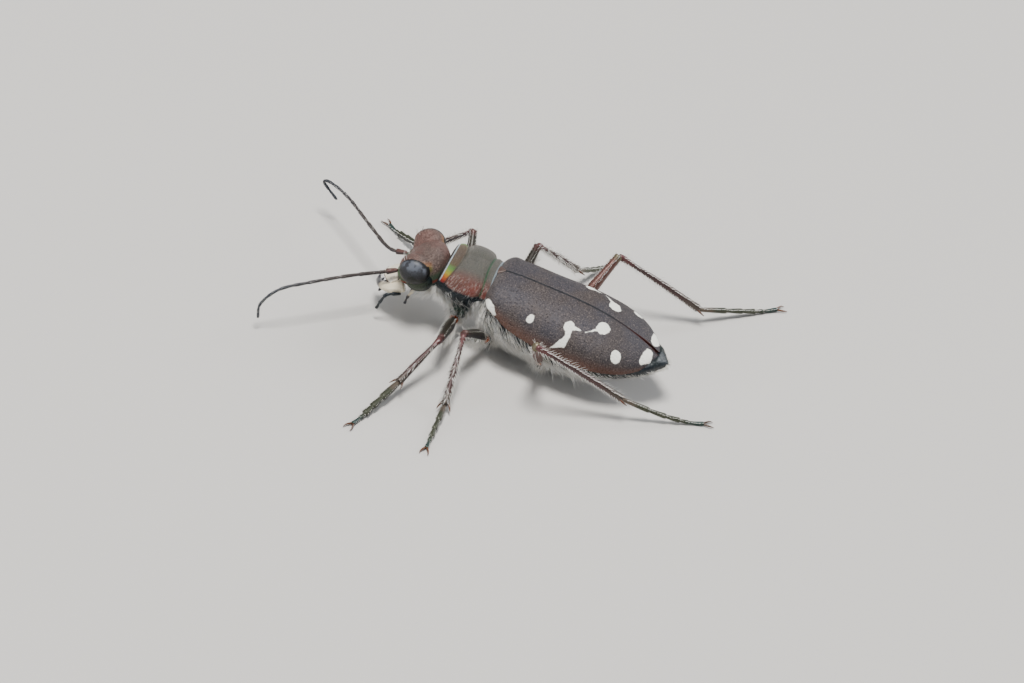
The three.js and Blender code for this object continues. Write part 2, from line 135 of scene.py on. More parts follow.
def makeObject(part, name, materials, replaces, maps=("skinMap",)):
    mesh = bpy.data.meshes.new(name)
    mesh.from_pydata((np.concatenate(part["verts"]) * mm).tolist(), [], part["faces"])
    coords = np.concatenate(part["coords"]).astype(np.float32)
    for n, mapName in enumerate(maps):
        mesh.uv_layers.new(name=mapName).data.foreach_set("uv", coords[:, 2 * n:2 * n + 2].ravel())
    for material in materials:
        mesh.materials.append(material)
    mesh.polygons.foreach_set("material_index", part["slots"])
    mesh.polygons.foreach_set("use_smooth", [True] * len(part["faces"]))
    mesh.update()
    thing = addThing(name, mesh)
    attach(thing, "root")
    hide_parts(*replaces)


def addLoft(part, surf, around, along, slot=0):
    v = np.linspace(0, 1, along + 1)[1:-1]
    a = np.linspace(0, 2 * math.pi, around, endpoint=False)
    rings = surf(v[:, None] * np.ones(around), a[None, :] * np.ones((len(v), 1)))
    addGrid(part, rings, lambda i, j: np.stack([j / around, v[np.minimum(i, len(v) - 1)] + 0 * j], -1), slot)


# paths and limbs
def smoothPath(points, steps):
    p = np.asarray(points, float)
    p = np.concatenate([2 * p[:1] - p[1:2], p, 2 * p[-1:] - p[-2:-1]])
    t = np.linspace(0, 1, 24, endpoint=False)[:, None]
    out = []
    for a, b, c, d in zip(p, p[1:], p[2:], p[3:]):
        curve = 2 * b + (c - a) * t + (2 * a - 5 * b + 4 * c - d) * t**2 + (3 * b - a - 3 * c + d) * t**3
        out.append(0.5 * curve)
    out = np.concatenate(out + [p[-2:-1]])
    reach = np.concatenate([[0], np.cumsum(np.linalg.norm(np.diff(out, axis=0), axis=1))])
    wanted = np.linspace(0, reach[-1], steps)
    return np.stack([np.interp(wanted, reach, out[:, k]) for k in range(3)], 1), reach[-1]


def limbSurf(matrix, points, radiusAt, flat=1.0, cap=0.06, up=(0, 0, 1)):
    path, length = smoothPath(placed(matrix, points), 160)
    way = np.gradient(path, axis=0)
    way /= np.linalg.norm(way, axis=1)[:, None]
    side = np.cross(way, np.asarray(up, float))
    side /= np.maximum(np.linalg.norm(side, axis=1)[:, None], 1e-6)
    lift = np.cross(side, way)
    share = np.linspace(0, 1, 160)

    def surf(v, a):
        v = np.clip(v, 0, 1)
        spot, across, above = (np.stack([np.interp(v, share, rows[:, k]) for k in range(3)], -1)
                               for rows in (path, side, lift))
        near = np.clip(np.minimum(v, 1 - v) / cap, 0, 1)
        r = radiusAt(v) * np.sqrt(np.maximum(1 - (1 - near) ** 2, 0.0004))
        return spot + across * (r * np.cos(a) * flat)[..., None] + above * (r * np.sin(a))[..., None]
    surf.length = length
    surf.path = path
    return surf


def towards(a, b, distance):
    a, b = np.asarray(a, float), np.asarray(b, float)
    return a + (b - a) / np.linalg.norm(b - a) * distance


# shader helpers
def newGroup(name, outputs, **inputs):  # None stands for a vector input, a number for a number's default
    tree = bpy.data.node_groups.new(name, "ShaderNodeTree")
    for label, value in inputs.items():
        kind = "NodeSocketVector" if value is None else "NodeSocketFloat"
        socket = tree.interface.new_socket(name=label.replace("_", " "), in_out="INPUT", socket_type=kind)
        if value is not None:
            socket.default_value = value
    for label in outputs:
        tree.interface.new_socket(name=label, in_out="OUTPUT", socket_type="NodeSocketFloat")
    return tree, tree.nodes.new("NodeGroupInput").outputs, tree.nodes.new("NodeGroupOutput").inputs


def fill(tree, socket, value):  # a fixed value, a link from another socket, or nothing for None
    if isinstance(value, (int, float, str)):
        socket.default_value = value
    elif isinstance(value, (tuple, list)):
        socket.default_value = (*value, 1) if len(socket.default_value) == 4 and len(value) == 3 else value
    elif value is not None:
        tree.links.new(value, socket)


def sums(tree, operation, *values, clamp=False):
    node = tree.nodes.new("ShaderNodeMath")
    node.operation, node.use_clamp = operation, clamp
    for socket, value in zip(node.inputs, values):
        fill(tree, socket, value)
    return node.outputs[0]


def vectors(tree, operation, *values, out=0):
    node = tree.nodes.new("ShaderNodeVectorMath")
    node.operation = operation
    for socket, value in zip(node.inputs, values):
        fill(tree, socket, value)
    return node.outputs[out]


def scaled(tree, vector, factor):
    return vectors(tree, "SCALE", vector, None, None, factor)


def blendColours(tree, share, a, b):
    node = tree.nodes.new("ShaderNodeMix")
    node.data_type = "RGBA"
    for socket, value in ((node.inputs[0], share), (node.inputs[6], a), (node.inputs[7], b)):
        fill(tree, socket, value)
    return node.outputs[2]


def ramp(tree, value, *stops):
    node = tree.nodes.new("ShaderNodeValToRGB")
    tree.links.new(value, node.inputs[0])
    for n, (place, colour) in enumerate(stops):
        element = node.color_ramp.elements[n] if n < 2 else node.color_ramp.elements.new(place)
        element.position, element.color = place, (*colour, 1)
    return node.outputs[0]


def between(tree, value, low, high, toLow=0.0, toHigh=1.0):
    node = tree.nodes.new("ShaderNodeMapRange")
    node.interpolation_type = "SMOOTHSTEP"
    for socket, v in zip(node.inputs, (value, low, high, toLow, toHigh)):
        fill(tree, socket, v)
    return node.outputs[0]


def noise(tree, vector, scale, detail=2.0):
    node = tree.nodes.new("ShaderNodeTexNoise")
    fill(tree, node.inputs["Vector"], vector)
    fill(tree, node.inputs["Scale"], scale)
    node.inputs["Detail"].default_value = detail
    return node.outputs[0]


def placeGroup(tree, group, **values):
    node = tree.nodes.new("ShaderNodeGroup")
    node.node_tree = group
    for label, value in values.items():
        fill(tree, node.inputs[label.replace("_", " ")], value)
    return node.outputs


# fine pits, grains and clouds of a beetle's hard skin
tree, takes, gives = newGroup("cuticleGrain", ("Pits", "Grain", "Cloud"), Vector=None, Pit_Scale=9000.0,
                              Cloud_Scale=900.0)
pits = tree.nodes.new("ShaderNodeTexVoronoi")
fill(tree, pits.inputs["Vector"], takes["Vector"])
fill(tree, pits.inputs["Scale"], takes["Pit Scale"])
fill(tree, gives["Pits"], between(tree, pits.outputs["Distance"], 0.05, 0.5))
fill(tree, gives["Grain"], noise(tree, takes["Vector"], sums(tree, "MULTIPLY", takes["Pit Scale"], 1.7)))
fill(tree, gives["Cloud"], noise(tree, takes["Vector"], takes["Cloud Scale"], 3.0))
grainGroup = tree

# one rounded streak from A to B with a radius at each end, as the distance to its edge
tree, takes, gives = newGroup("paleStreak", ["Distance"], Place=None, A=None, B=None, Radius_A=0.1,
                              Radius_B=0.1)
fromA = vectors(tree, "SUBTRACT", takes["Place"], takes["A"])
wayAB = vectors(tree, "SUBTRACT", takes["B"], takes["A"])
gone, whole = (vectors(tree, "DOT_PRODUCT", w, wayAB, out=1) for w in (fromA, wayAB))
share = sums(tree, "DIVIDE", gone, whole, clamp=True)
away = vectors(tree, "LENGTH", vectors(tree, "SUBTRACT", fromA, scaled(tree, wayAB, share)), out=1)
growth = sums(tree, "SUBTRACT", takes["Radius B"], takes["Radius A"])
radius = sums(tree, "MULTIPLY_ADD", share, growth, takes["Radius A"])
fill(tree, gives["Distance"], sums(tree, "SUBTRACT", away, radius))
streakGroup = tree


def newMaterial(name, roughness, metallic, coat=0.0):
    material = bpy.data.materials.new(name)
    material.use_nodes = True
    tree = material.node_tree
    shader = tree.nodes["Principled BSDF"]
    shader.inputs["Roughness"].default_value = roughness
    shader.inputs["Metallic"].default_value = metallic
    shader.inputs["Coat Weight"].default_value = coat
    shader.inputs["Coat Roughness"].default_value = 0.2
    return material, tree, shader, tree.nodes.new("ShaderNodeTexCoord").outputs["Object"]


def emboss(tree, shader, height, strength, distance):
    node = tree.nodes.new("ShaderNodeBump")
    node.inputs["Strength"].default_value = strength
    node.inputs["Distance"].default_value = distance
    tree.links.new(height, node.inputs["Height"])
    tree.links.new(node.outputs[0], shader.inputs["Normal"])


def mapOf(tree, name="skinMap"):
    node = tree.nodes.new("ShaderNodeUVMap")
    node.uv_map = name
    split = tree.nodes.new("ShaderNodeSeparateXYZ")
    tree.links.new(node.outputs[0], split.inputs[0])
    return node.outputs[0], split.outputs[0], split.outputs[1]


def gapTo(tree, value, centre):
    return sums(tree, "ABSOLUTE", sums(tree, "SUBTRACT", value, centre))


def heightOnRing(tree, turn):  # 0 on a ring's crest, 0.25 at its sides, 0.5 underneath
    return sums(tree, "PINGPONG", gapTo(tree, turn, 0.25), 0.5)


def newSkin(name, roughness, metallic, coat=0.0, pit=9000, cloud=900):
    material, tree, shader, coords = newMaterial(name, roughness, metallic, coat)
    marks = placeGroup(tree, grainGroup, Vector=coords, Pit_Scale=float(pit), Cloud_Scale=float(cloud))
    by = {"coords": coords, **{label: marks[label] for label in ("Pits", "Grain", "Cloud")}}
    return material, tree, shader, by  # "by" holds what a layer of colour can go by


def readMap(tree, by):
    by["skin"], by["turn"], by["along"] = mapOf(tree)
    return by


def layered(tree, colour, by, rows):
    # a row: what the layer goes by, where it begins and where it is full, its strength and its colour
    for source, start, full, strength, over in rows:
        colour = blendColours(tree, between(tree, by[source], start, full, 0.0, strength), colour, over)
    return colour


def pitsAndGrain(tree, by):
    return sums(tree, "ADD", by["Pits"], by["Grain"])


def speckled(name, base, other, roughness, metallic, coat=0.0, pit=9000, depth=0.35, cloud=900, dark=0.5):
    # a metallic skin of two colours in clouds, darker in its pits
    material, tree, shader, by = newSkin(name, roughness, metallic, coat, pit, cloud)
    pitColour = [c * 0.35 for c in base]
    colour = layered(tree, base, by,
                     [("Cloud", 0.35, 0.65, 1.0, other), ("Grain", 0.62, 0.35, dark, pitColour)])
    fill(tree, shader.inputs["Base Color"], colour)
    rough = between(tree, by["Grain"], 0.3, 0.7, roughness - 0.08, roughness + 0.12)
    fill(tree, shader.inputs["Roughness"], rough)
    emboss(tree, shader, pitsAndGrain(tree, by), depth, 0.00002)
    return material, tree, shader, by, colour


# Wing cases: "turn" runs from the suture to the outer edge. The pale marks are streaks in millimetres:
# (across from the suture, back) at each end, then the radius at each end.
wingLook = {
    "disc": (0.06, 0.047, 0.044), "ivory": (0.97, 0.975, 0.9), "ivoryShade": (0.93, 0.92, 0.82),
    "pit": 10500, "cloud": 650, "mapScale": 10.0, "melt": 0.06,
    "layers": [
        # the second row is painted shade: it darkens the rear of each case
        ("Cloud", 0.35, 0.62, 1.0, (0.049, 0.045, 0.054)), ("along", 0.42, 0.72, 0.35, (0.026, 0.024, 0.03)),
        ("turn", 0.62, 0.93, 1.0, (0.125, 0.054, 0.036)), ("along", 0.16, 0.0, 1.0, (0.1, 0.088, 0.084)),
        ("Grain", 0.5, 0.74, 0.6, (0.2, 0.165, 0.15)), ("Grain", 0.48, 0.28, 0.75, (0.018, 0.014, 0.014)),
    ],
    "seam": (0.012, 0.014, 0.018), "seamRear": [("along", 0.6, 0.8, 1.0, (0.05, 0.008, 0.006))],
    "streaks": [
        ((1.74, -0.06), (1.98, 0.16), 0.10, 0.13), ((1.98, 0.16), (2.22, 0.42), 0.13, 0.09),
        ((1.76, 1.80), (1.88, 1.80), 0.135, 0.13),
        ((1.46, 3.3), (1.56, 3.3), 0.2, 0.19), ((1.56, 3.34), (1.92, 3.44), 0.14, 0.085),
        ((1.92, 3.44), (2.26, 3.38), 0.09, 0.17), ((2.26, 3.38), (2.62, 3.06), 0.165, 0.012),
        ((1.5, 3.4), (1.44, 3.82), 0.12, 0.012),
        ((0.78, 4.54), (0.92, 4.51), 0.27, 0.235), ((1.02, 4.4), (1.42, 4.0), 0.07, 0.012),
        ((1.58, 5.51), (1.68, 5.53), 0.22, 0.21),
        ((0.32, 6.62), (0.6, 6.62), 0.17, 0.23), ((0.6, 6.62), (0.96, 6.5), 0.22, 0.11),
    ],
}


def paleMarks(tree, coords, place):  # 1 on the ivory marks, with a slightly ragged edge
    flat = vectors(tree, "MULTIPLY", place, (wingLook["mapScale"], wingLook["mapScale"], 0.0))
    nearest = None
    for a, b, radiusA, radiusB in wingLook["streaks"]:
        ends = {"A": (*a, 0.0), "B": (*b, 0.0), "Radius_A": radiusA, "Radius_B": radiusB}
        far = placeGroup(tree, streakGroup, Place=flat, **ends)[0]
        nearest = far if nearest is None else sums(tree, "SMOOTH_MIN", nearest, far, wingLook["melt"])
    wobble = sums(tree, "MULTIPLY_ADD", noise(tree, coords, 6500.0), 0.1, -0.05)
    return between(tree, sums(tree, "ADD", nearest, wobble), 0.014, -0.02)


def makeWingFinish():
    w = wingLook
    material, tree, shader, by = newSkin("wing_case_finish", 0.55, 0.2, pit=w["pit"], cloud=w["cloud"])
    readMap(tree, by)
    place, by["across"] = mapOf(tree, "wingMap")[:2]
    by["pale"] = paleMarks(tree, by["coords"], place)
    seam = layered(tree, w["seam"], by, w["seamRear"])
    ivory = layered(tree, w["ivory"], by, [("Grain", 0.3, 0.7, 1.0, w["ivoryShade"])])
    colour = layered(tree, w["disc"], by, w["layers"] + [("across", 0.006, 0.002, 1.0, seam)])
    fill(tree, shader.inputs["Base Color"], blendColours(tree, by["pale"], colour, ivory))
    fill(tree, shader.inputs["Metallic"], between(tree, by["pale"], 1.0, 0.0, 0.0, 0.35))
    fill(tree, shader.inputs["Roughness"], between(tree, by["Grain"], 0.3, 0.7, 0.54, 0.7))
    emboss(tree, shader, pitsAndGrain(tree, by), 0.8, 0.00002)
    return material


# The collar plate is coppery at its sides, olive on top and blue-black below, with green, gold and red
# lights in its front groove. "along" is 0 at its front and 1 at its rear; "height" is 0 on its crest,
# 0.25 at its sides and 0.5 underneath. Both grooves bow as they rise.
plateLook = {
    "skin": ((0.33, 0.09, 0.07), (0.25, 0.09, 0.072), 0.46, 0.4, 0.0, 11000),
    "layers": [
        ("height", 0.215, 0.085, 1.0, (0.142, 0.138, 0.12)), ("Grain", 0.54, 0.76, 0.6, (0.34, 0.27, 0.22)),
        ("Cloud", 0.5, 0.68, 0.3, (0.1, 0.095, 0.07)),
    ],
    "groove": {"at": 0.17, "bow": 0.1, "fade": 0.04, "strength": 0.9, "down": 0.3},
    "lights": [
        (0.0, (0.15, 0.11, 0.085)), (0.28, (0.17, 0.12, 0.07)), (0.4, (0.14, 0.36, 0.08)),
        (0.55, (0.5, 0.46, 0.05)), (0.68, (0.65, 0.2, 0.03)), (0.84, (0.45, 0.04, 0.03)),
        (1.0, (0.06, 0.015, 0.02)),
    ],
    "rearGroove": {"at": 0.825, "bow": -0.035}, "rim": 0.061,
    "edges": [
        # painted shade: this row darkens the front groove along its crease
        ("shadedCrease", 0.016, 0.002, 0.55, (0.05, 0.04, 0.025)),
        ("rearGroove", 0.024, 0.006, 0.75, (0.03, 0.12, 0.055)),
        ("along", 0.062, 0.05, 1.0, (0.05, 0.045, 0.04)), ("rim", 0.015, 0.007, 1.0, (0.55, 0.63, 0.67)),
        ("along", 0.925, 0.94, 1.0, (0.34, 0.4, 0.44)),
    ],
    "under": {"edge": 0.268, "slope": -0.02, "ragged": 0.02, "fade": 0.02, "colour": (0.012, 0.022, 0.03)},
}


def makePlateFinish():
    p = plateLook
    groove, rear, under = p["groove"], p["rearGroove"], p["under"]
    material, tree, shader, by, colour = speckled("bronze_plate", *p["skin"])
    along = readMap(tree, by)["along"]
    high = by["height"] = heightOnRing(tree, by["turn"])
    colour = layered(tree, colour, by, p["layers"])
    lights = ramp(tree, sums(tree, "DIVIDE", high, groove["down"]), *p["lights"])
    up = between(tree, high, 0.25, 0.0)
    unbowed = sums(tree, "SUBTRACT", along, sums(tree, "MULTIPLY", up, groove["bow"]))
    front = between(tree, unbowed, groove["at"], groove["at"] - groove["fade"], 0.0, groove["strength"])
    colour = blendColours(tree, front, colour, lights)
    # the distance to the front groove's crease, where painted shade darkens it
    by["shadedCrease"] = gapTo(tree, along, sums(tree, "MULTIPLY_ADD", up, groove["bow"], groove["at"]))
    by["rearGroove"] = gapTo(tree, along, sums(tree, "MULTIPLY_ADD", up, rear["bow"], rear["at"]))
    by["rim"] = gapTo(tree, along, p["rim"])
    edgeHeight = sums(tree, "MULTIPLY_ADD", along, under["slope"], under["edge"])
    ragged = sums(tree, "MULTIPLY_ADD", noise(tree, by["coords"], 3000.0), under["ragged"], high)
    below = between(tree, sums(tree, "SUBTRACT", ragged, edgeHeight), 0.0, under["fade"])
    colour = blendColours(tree, below, layered(tree, colour, by, p["edges"]), under["colour"])
    fill(tree, shader.inputs["Base Color"], colour)
    fill(tree, shader.inputs["Roughness"], between(tree, below, 0.0, 1.0, 0.42, 0.2))
    folds = noise(tree, vectors(tree, "MULTIPLY", by["skin"], (40.0, 90.0, 1.0)), 1.0, 4.0)
    emboss(tree, shader, sums(tree, "MULTIPLY_ADD", folds, 2.6, pitsAndGrain(tree, by)), 1.0, 0.00004)
    return material


# the head, with heights as on the collar plate and a golden gleam behind each eye
headLook = {
    "skin": ((0.17, 0.088, 0.074), (0.118, 0.082, 0.07), 0.56, 0.3, 0.0, 12000, 0.5),
    "top": [("Grain", 0.54, 0.76, 0.55, (0.36, 0.25, 0.21)), ("along", 0.3, 0.12, 1.0, (0.09, 0.14, 0.075))],
    "gleam": {"along": 0.76, "height": 0.19, "strength": 0.45, "colour": (0.5, 0.2, 0.05)},
    "gleamLow": [("height", 0.16, 0.22, 1.0, (0.3, 0.36, 0.05))],
    "redLine": 0.315,
    "low": [
        ("height", 0.235, 0.275, 1.0, (0.05, 0.075, 0.045)),
        ("height", 0.31, 0.36, 1.0, (0.015, 0.028, 0.035)),
        ("redLine", 0.018, 0.004, 0.8, (0.3, 0.03, 0.02)),
    ],
}


def makeHeadFinish():
    h = headLook
    gleam = h["gleam"]
    material, tree, shader, by, colour = speckled("bronze_head", *h["skin"])
    along = readMap(tree, by)["along"]
    high = by["height"] = heightOnRing(tree, by["turn"])
    by["redLine"] = gapTo(tree, high, h["redLine"])
    colour = layered(tree, colour, by, h["top"])
    behindEye = sums(tree, "MULTIPLY", between(tree, gapTo(tree, along, gleam["along"]), 0.12, 0.03),
                     between(tree, gapTo(tree, high, gleam["height"]), 0.06, 0.01))
    gold = layered(tree, gleam["colour"], by, h["gleamLow"])
    colour = blendColours(tree, sums(tree, "MULTIPLY", behindEye, gleam["strength"]), colour, gold)
    fill(tree, shader.inputs["Base Color"], layered(tree, colour, by, h["low"]))
    # lengthwise lines
    fine = noise(tree, vectors(tree, "MULTIPLY", by["skin"], (150.0, 16.0, 1.0)), 1.0, 2.0)
    emboss(tree, shader, sums(tree, "MULTIPLY_ADD", fine, 0.8, pitsAndGrain(tree, by)), 0.9, 0.00003)
    return material


eyeLook = {  # a mottled slate sheen above, dark olive below, in a dark rim; "height" is in mm from the middle
    "olive": (0.008, 0.009, 0.006), "facets": 26000, "cloud": 3300,
    "layers": [
        ("height", -0.08, 0.16, 1.0, (0.03, 0.033, 0.04)), ("height", 0.1, 0.34, 1.0, (0.105, 0.115, 0.14)),
        ("Cloud", 0.44, 0.56, 0.85, (0.022, 0.022, 0.025)), ("Grain", 0.55, 0.75, 0.4, (0.12, 0.125, 0.14)),
        ("along", 0.34, 0.43, 1.0, (0.008, 0.008, 0.008)),
    ],
}


def makeEyeFinish(centre):
    material, tree, shader, by = newSkin("eye_facets", 0.4, 0.0, pit=eyeLook["facets"],
                                         cloud=eyeLook["cloud"])
    shader.inputs["Specular IOR Level"].default_value = 0.25
    readMap(tree, by)
    split = tree.nodes.new("ShaderNodeSeparateXYZ")
    fill(tree, split.inputs[0], by["coords"])
    high = sums(tree, "MULTIPLY_ADD", split.outputs[2], 1 / mm, -float(centre[2]))
    by["height"] = sums(tree, "MULTIPLY_ADD", by["Cloud"], 0.3, sums(tree, "SUBTRACT", high, 0.15))
    fill(tree, shader.inputs["Base Color"], layered(tree, eyeLook["olive"], by, eyeLook["layers"]))
    emboss(tree, shader, by["Pits"], 0.3, 0.000006)
    return material


# Legs and feelers: the colours at a piece's root, middle and far end, how rough and how metallic it is,
# where the root's colour ends and where the far end's begins.
limbLook = {
    "dark_thigh": ((0.02, 0.024, 0.014), (0.03, 0.026, 0.018), (0.07, 0.028, 0.024), 0.4, 0.35, 0.22, 0.85),
    "dark_middle_thigh": ((0.04, 0.022, 0.016), (0.033, 0.027, 0.02), (0.07, 0.028, 0.024),
                          0.4, 0.35, 0.22, 0.85),
    "copper_thigh": ((0.1, 0.036, 0.024), (0.14, 0.056, 0.044), (0.11, 0.09, 0.05), 0.4, 0.35, 0.22, 0.88),
    "purple_shin": ((0.1, 0.034, 0.034), (0.075, 0.037, 0.036), (0.06, 0.045, 0.036), 0.4, 0.3, 0.22, 0.72),
    "green_foot": ((0.09, 0.07, 0.052), (0.055, 0.06, 0.036), (0.018, 0.04, 0.034), 0.4, 0.4, 0.22, 0.72),
    "feeler": ((0.075, 0.024, 0.018), (0.05, 0.038, 0.034), (0.03, 0.035, 0.044), 0.5, 0.15, 0.09, 0.4),
}
limbMarks = [("edge", 0.1, 0.02, 0.75, (0.02, 0.02, 0.028)), ("Grain", 0.6, 0.8, 0.3, (0.45, 0.36, 0.32))]


def makeLimbFinish(name, start, middle, end, roughness, metallic, rootEnd, tipStart):
    shade = [c * 0.8 for c in middle]
    material, tree, shader, by, colour = speckled(name, middle, shade, roughness, metallic, 0.15, 14000,
                                                  cloud=2500)
    readMap(tree, by)
    by["edge"] = gapTo(tree, by["turn"], 0.5)  # a dark front edge
    ends = [("along", rootEnd, rootEnd * 0.6, 1.0, start),
            ("along", tipStart, tipStart + (1 - tipStart) * 0.7, 1.0, end)]
    fill(tree, shader.inputs["Base Color"], layered(tree, colour, by, ends + limbMarks))
    return material


mouthLook = {
    "jaw": (0.82, 0.72, 0.54), "pit": 12000, "cloud": 2000,
    "jawLayers": [("dark", 0.5, 0.62, 1.0, (0.015, 0.017, 0.026)),
                  ("Grain", 0.5, 0.8, 0.3, (0.25, 0.13, 0.07))],
    "lip": ((0.84, 0.78, 0.66), (0.72, 0.64, 0.5), 0.4, 0.0, 0.2, 8000, 0.2, 3000, 0.15),
    "lipLayers": [("along", 0.93, 0.985, 1.0, (0.1, 0.04, 0.025))],
}


def makeJawFinish():  # ivory at the root and black from the middle on
    m = mouthLook
    material, tree, shader, by = newSkin("jaw_ivory_to_black", 0.28, 0.05, 0.3, m["pit"], m["cloud"])
    by["dark"] = sums(tree, "MULTIPLY_ADD", by["Cloud"], 0.12, readMap(tree, by)["along"])
    fill(tree, shader.inputs["Base Color"], layered(tree, m["jaw"], by, m["jawLayers"]))
    emboss(tree, shader, by["Grain"], 0.25, 0.00001)
    return material


def makeLipFinish():
    material, tree, shader, by, colour = speckled("ivory_lip", *mouthLook["lip"])
    fill(tree, shader.inputs["Base Color"], layered(tree, colour, readMap(tree, by), mouthLook["lipLayers"]))
    return material


# Bristles: "bend" and the spreads are shares of a bristle's own values, "rootDepth" and "overFloor" are
# in millimetres, and "patch" is the size of a bristle's own place on its coat's map.
bristleLook = {
    "white": (0.9, 0.89, 0.86), "straw": (0.7, 0.67, 0.6), "patches": 4000.0,
    "bend": 0.3, "ruffle": 0.16, "liftSpread": (0.75, 1.25), "girthSpread": (0.8, 1.2),
    "rootDepth": 0.015, "overFloor": 0.04, "patch": 0.003,
    "cone": {"Vertices": 3, "Side Segments": 4, "Fill Segments": 1, "Radius Top": 0.06, "Radius Bottom": 1.0,
             "Depth": 1.0},
}


def makeBristleFinish():
    material, tree, shader, coords = newMaterial("white_bristle", 0.42, 0.0)
    patches = between(tree, noise(tree, coords, bristleLook["patches"]), 0.3, 0.7)
    fill(tree, shader.inputs["Base Color"],
         blendColours(tree, patches, bristleLook["white"], bristleLook["straw"]))
    return material


# the plain skins: two colours, how rough, metallic and glossy they are, and how finely and deeply pitted
skinLook = {
    "scutellum_bronze": ((0.1, 0.078, 0.07), (0.13, 0.08, 0.065), 0.45, 0.35, 0.0, 12000, 0.35),
    "green_black_cheek": ((0.022, 0.034, 0.016), (0.012, 0.022, 0.026), 0.3, 0.5, 0.2, 14000, 0.3),
    "blue_black_underside": ((0.012, 0.018, 0.024), (0.015, 0.022, 0.019), 0.34, 0.3, 0.1, 9000, 0.5),
    "green_black_hip": ((0.03, 0.06, 0.03), (0.02, 0.035, 0.045), 0.26, 0.6, 0.2, 12000, 0.3),
    "blue_black_palp": ((0.014, 0.02, 0.026), (0.012, 0.024, 0.018), 0.3, 0.4, 0.2, 16000, 0.2),
    "orange_trochanter": ((0.55, 0.14, 0.03), (0.4, 0.08, 0.02), 0.3, 0.1, 0.3, 12000, 0.2),
    "horn_claw": ((0.14, 0.05, 0.02), (0.06, 0.025, 0.012), 0.3, 0.0, 0.3, 20000, 0.2),
}
wingFinish, plateFinish, headFinish = makeWingFinish(), makePlateFinish(), makeHeadFinish()
jawFinish, lipFinish, bristleFinish = makeJawFinish(), makeLipFinish(), makeBristleFinish()
skins = {name: speckled(name, *row)[0] for name, row in skinLook.items()}
limbs = {name: makeLimbFinish(name, *row) for name, row in limbLook.items()}
thighFinishes = {"front": limbs["dark_thigh"], "mid": limbs["dark_middle_thigh"],
                 "hind": limbs["copper_thigh"]}
print("finishes ready", len(bpy.data.materials))


# the trunk: the body's own places are x left, y back, z up from the scutellum tip
trunkShape = {
    "front": -0.3, "rear": 7.5, "split": 2.6, "inset": 0.22,
    "keel": profile((-0.3, -2.2), (0.5, -2.6), (1.8, -2.62), (3.4, -2.3), (5.3, -1.75), (6.4, -1.2),
                    (7.1, -0.6), (7.5, -0.2)),
}
wingShape = {
    "front": -0.22, "rear": 7.02, "wall": 0.09, "seam": 0.012,
    "mapStretch": {"left": 1.0, "right": 1.1},  # the right case's marks sit a little nearer the suture
    "width": profile((-0.35, 0.9), (-0.1, 1.5), (0.6, 1.8), (2.2, 2.0), (4.2, 2.15), (5.4, 1.98),
                     (6.3, 1.45), (6.8, 0.8), (7.02, 0.25)),
    "crest": profile((-0.35, -0.15), (0.1, 0.0), (1.8, 0.32), (3.4, 0.52), (4.5, 0.55), (5.5, 0.45),
                     (6.4, 0.27), (7.02, 0.06)),
    "edge": profile((-0.35, -0.7), (0.1, -0.82), (1.0, -1.08), (2.3, -1.15), (3.6, -1.03), (5.3, -0.66),
                    (6.6, -0.3), (7.02, -0.12)),
}


def trunkSurf(v, a):
    t = trunkShape
    y = t["front"] + (t["rear"] - t["front"]) * (0.5 - 0.5 * np.cos(math.pi * v))
    tail = np.maximum((y - t["split"]) / (t["rear"] - t["split"]), 0)
    ring = (tail * 6) % 1
    step = np.where(tail > 0, 0.055 * ring * np.clip((1 - ring) * 9, 0, 1), 0)
    rear = np.sqrt(np.maximum(1 - np.maximum((y - 5.9) / (t["rear"] - 5.85), 0) ** 2, 0.01))
    front = np.sqrt(np.maximum(1 - np.maximum((0.35 - y) / 0.75, 0) ** 2, 0.05))
    edge = wingShape["edge"](y)
    width = np.maximum(np.minimum(wingShape["width"](y) - t["inset"], 1.95),
                       0.3 + 1.1 * rear) * rear * front - step
    middle = edge - 0.12
    height = np.where(np.sin(a) > 0, 0.42 * rear, middle - t["keel"](y) - step)
    point = np.stack([np.maximum(width, 0.03) * bend(np.cos(a), 0.85), y,
                      middle + height * bend(np.sin(a), 0.9)], -1)
    return placed(bodyFrame, point)


def wingSurf(side, depth):
    s = wingShape

    def surf(u, v):
        first, final = s["front"] + depth * 0.4, s["rear"] - depth * 0.9
        y = first + (final - first) * (0.5 - 0.5 * np.cos(math.pi * v))
        turn = np.radians(90 - 103 * u)
        near = np.clip((y - s["front"]) / 0.45, 0, 1)
        rounded = 0.86 + 0.14 * np.sqrt(np.maximum(1 - (1 - near) ** 2, 0))
        width = np.maximum(s["width"](y) * rounded - depth, 0.05)
        base = s["edge"](y)
        height = np.maximum((s["crest"](y) - base) * (0.3 + 0.7 * rounded) - depth, 0.05)
        x = width * bend(np.cos(turn), 0.8)
        rise = np.where(turn > 0, bend(np.sin(turn), 0.86) * height,
                        0.42 * np.sin(turn) * np.minimum(height, 1))
        x = x - np.where(turn < 0, -np.sin(turn) * 0.5, 0)
        gap = s["seam"] + 0.075 * np.clip((y - 5.3) / 1.6, 0, 1) ** 1.5
        bead = 0.02 * hump(x, 0.06, 0.045) - 0.018 * hump(x, 0.15, 0.05)
        return np.stack([side * np.maximum(x, gap), y, base + rise + bead], -1)
    return surf


